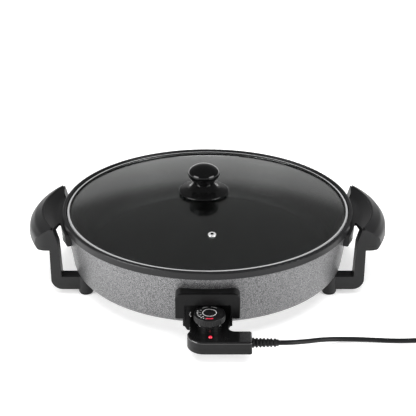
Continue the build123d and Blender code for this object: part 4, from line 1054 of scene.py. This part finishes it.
# ------------------------------------------------------------------ pan
class PARTY_PAN_OT_bowl(bpy.types.Operator):
    """Finishes the coated bowl, the hammered wall and what is under them"""

    bl_idname = "party_pan.bowl"
    bl_label = "Bowl and wall"

    def execute(self, context):
        dress(
            "pan_bowl", "outer_shell", "bottom_cover", "cover_screws", "heating_element",
            "heat_spreader", "heating_pins", "probe_sleeve", "guard_screws",
        )
        # Guard and socket get the darker copy of the handle plastic; its extra darkness is painted shade
        dress("inlet_socket", "front_guard", name="guard_black")
        self.pointer()
        return {"FINISHED"}

    def pointer(self):
        """Thin white arrow mark on the socket, left of the dial."""
        mark = bmesh.new()
        tip = Vector((MARK_TIP_X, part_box("inlet_socket")[0].y, MARK_TIP_Z))
        for lean in (-1.0, 1.0):
            bar = bmesh.ops.create_cube(mark, size=1.0)["verts"]
            shape = (
                Matrix.Translation(tip)
                @ Matrix.Rotation(MARK_OPENING * lean, 4, "Y")
                @ Matrix.Diagonal((MARK_LENGTH, 2 * MARK_LIFT, MARK_WIDTH, 1.0))
                @ Matrix.Translation((0.5, 0.0, 0.0))
            )
            bmesh.ops.transform(mark, matrix=shape, verts=bar)
        mesh = bpy.data.meshes.new("socket_mark")
        mark.to_mesh(mesh)
        mark.free()
        new_piece("socket_mark", mesh, "pan", "white_ink")


class PARTY_PAN_OT_handles(bpy.types.Operator):
    """Finishes the two standing handles and their feet"""

    bl_idname = "party_pan.handles"
    bl_label = "Handles"

    def execute(self, context):
        dress(
            "handle_right", "handle_left", "handle_screws", "foot_screws", "foot_nuts", "foot_pads",
        )
        return {"FINISHED"}


GLASS_ROUNDING = 0.0010
GLASS_ROWS = 36
GLASS_SEGMENTS = 160


class PARTY_PAN_OT_lid(bpy.types.Operator):
    """Turns the domed glass and finishes the ring, the vent and the knob"""

    bl_idname = "party_pan.lid"
    bl_label = "Lid"

    def execute(self, context):
        lid = context.scene.pan_lid
        edge = lid.radius - GLASS_ROUNDING

        def height(radius, drop):
            return lid.top - drop - lid.sphere + math.sqrt(lid.sphere**2 - radius**2)

        reaches = [edge * row / GLASS_ROWS for row in range(GLASS_ROWS + 1)]
        upper = [(radius, height(radius, 0.0)) for radius in reaches]
        lower = [(radius, height(radius, lid.thickness)) for radius in reversed(reaches)]
        drops = (GLASS_ROUNDING, lid.thickness - GLASS_ROUNDING)
        rim = [(lid.radius, height(lid.radius, drop)) for drop in drops]
        glass = lathe(
            [*upper, *rim, *lower],
            {
                "Segments": GLASS_SEGMENTS,
                "Centre": Vector((PAN_AXIS.x, PAN_AXIS.y, 0.0)),
                "Finish": "lid_glass",
            },
        )
        piece = new_piece("domed_glass", glass, "lid", "lid_glass")
        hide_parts("lid_glass")
        dress(
            "lid_ring", "knob_gasket", "under_gasket", "knob_washer", "knob_screw", "knob_disc",
            "knob_head",
        )
        dress("vent_eyelet", name="vent_steel")
        return {"FINISHED"}


# ------------------------------------------------------------------ controller
class PARTY_PAN_OT_controller(bpy.types.Operator):
    """Finishes the heat controller's case and what is inside it"""

    bl_idname = "party_pan.controller"
    bl_label = "Controller"

    def execute(self, context):
        dress(
            "case_base", "case_top", "case_screws", "probe_rod", "contact_left", "contact_right",
            "thermostat_frame", "spindle_bush", "lower_spacer", "middle_spacer", "upper_spacer",
            "fixed_blade", "moving_blade", "lamp_lens", "neon_lamp", "sheath_end", "cord_clamp",
            "wires", "spindle", "push_pin",
        )
        return {"FINISHED"}


FLUTE_SINK = 0.55  # share of a flute's radius that lies inside the dial
FLUTE_SHORT = 0.0036  # how much shorter than the dial the flutes are
FLUTE_DROP = 0.0004  # how far below the dial's middle theirs is


class PARTY_PAN_OT_dial(bpy.types.Operator):
    """Cuts the dial's grip flutes and prints its figures"""

    bl_idname = "party_pan.dial"
    bl_label = "Dial"

    def execute(self, context):
        marks = context.scene.pan_dial
        dress("dial", "dial_scale")
        low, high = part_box("dial")
        reach = (high.x - low.x) / 2
        grip = flutes({
            "Count": marks.flutes,
            "Step": 2 * math.pi / marks.flutes,
            "First": 0.0,
            "Radius": reach - marks.flute_radius * FLUTE_SINK,
            "Thickness": marks.flute_radius,
            "Height": (high.z - low.z) - FLUTE_SHORT,
            "Centre": Vector((DIAL_AXIS.x, DIAL_AXIS.y, (low.z + high.z) / 2 - FLUTE_DROP)),
            "Finish": "dial_black",
        })
        new_piece("dial_flutes", grip, "dial", "dial_black")
        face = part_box("dial_scale")[1].z
        white = self.figures(context, marks, face)
        new_piece("dial_figures", white, "dial", "white_ink")
        return {"FINISHED"}

    def figures(self, context, marks, face):
        """Figures set round the dial, feet towards its middle."""
        sheet = bmesh.new()
        for word, turn in FIGURES:
            text = bpy.data.curves.new("figure", "FONT")
            text.body = word
            text.size = marks.figure_height
            text.align_x = "CENTER"
            text.align_y = "CENTER"
            text.extrude = FIGURE_DEPTH
            holder = bpy.data.objects.new("figure", text)
            context.scene.collection.objects.link(holder)
            mesh = plain_mesh(holder)
            way = math.radians(turn)
            spot = DIAL_AXIS + Vector((math.sin(way), math.cos(way), 0.0)) * marks.figure_reach
            spot.z = face + FIGURE_LIFT
            mesh.transform(Matrix.Translation(spot) @ Matrix.Rotation(-way, 4, "Z"))
            sheet.from_mesh(mesh)
        joined = bpy.data.meshes.new("dial_figures")
        sheet.to_mesh(joined)
        sheet.free()
        tidy_mesh(joined)
        return joined


# ------------------------------------------------------------------ panel
STEPS = ("stage", "cord", "boot", "bowl", "handles", "lid", "controller", "dial")


class PARTY_PAN_PT_panel(bpy.types.Panel):
    """Lists the pieces of the pan"""

    bl_idname = "PARTY_PAN_PT_panel"
    bl_label = "Party Pan"
    bl_space_type = "VIEW_3D"
    bl_region_type = "UI"
    bl_category = "Party Pan"

    def draw(self, context):
        for step in STEPS:
            self.layout.operator("party_pan." + step)
        for group in GROUPS:
            settings = getattr(context.scene, group)
            box = self.layout.box()
            for name in settings.__annotations__:
                box.prop(settings, name)


GROUPS = {
    "pan_look": PanLook,
    "pan_stage": PanStage,
    "pan_lid": PanLid,
    "pan_dial": PanDial,
    "pan_cord": PanCord,
}
CLASSES = (
    *GROUPS.values(),
    PARTY_PAN_OT_stage,
    PARTY_PAN_OT_cord,
    PARTY_PAN_OT_boot,
    PARTY_PAN_OT_bowl,
    PARTY_PAN_OT_handles,
    PARTY_PAN_OT_lid,
    PARTY_PAN_OT_controller,
    PARTY_PAN_OT_dial,
    PARTY_PAN_PT_panel,
)


def register():
    for item in CLASSES:
        bpy.utils.register_class(item)
    for name, group in GROUPS.items():
        setattr(bpy.types.Scene, name, bpy.props.PointerProperty(type=group))


def unregister():
    for name in GROUPS:
        delattr(bpy.types.Scene, name)
    for item in reversed(CLASSES):
        bpy.utils.unregister_class(item)


def main():
    register()
    for step in STEPS:
        getattr(bpy.ops.party_pan, step)()


if __name__ == "__main__":
    main()
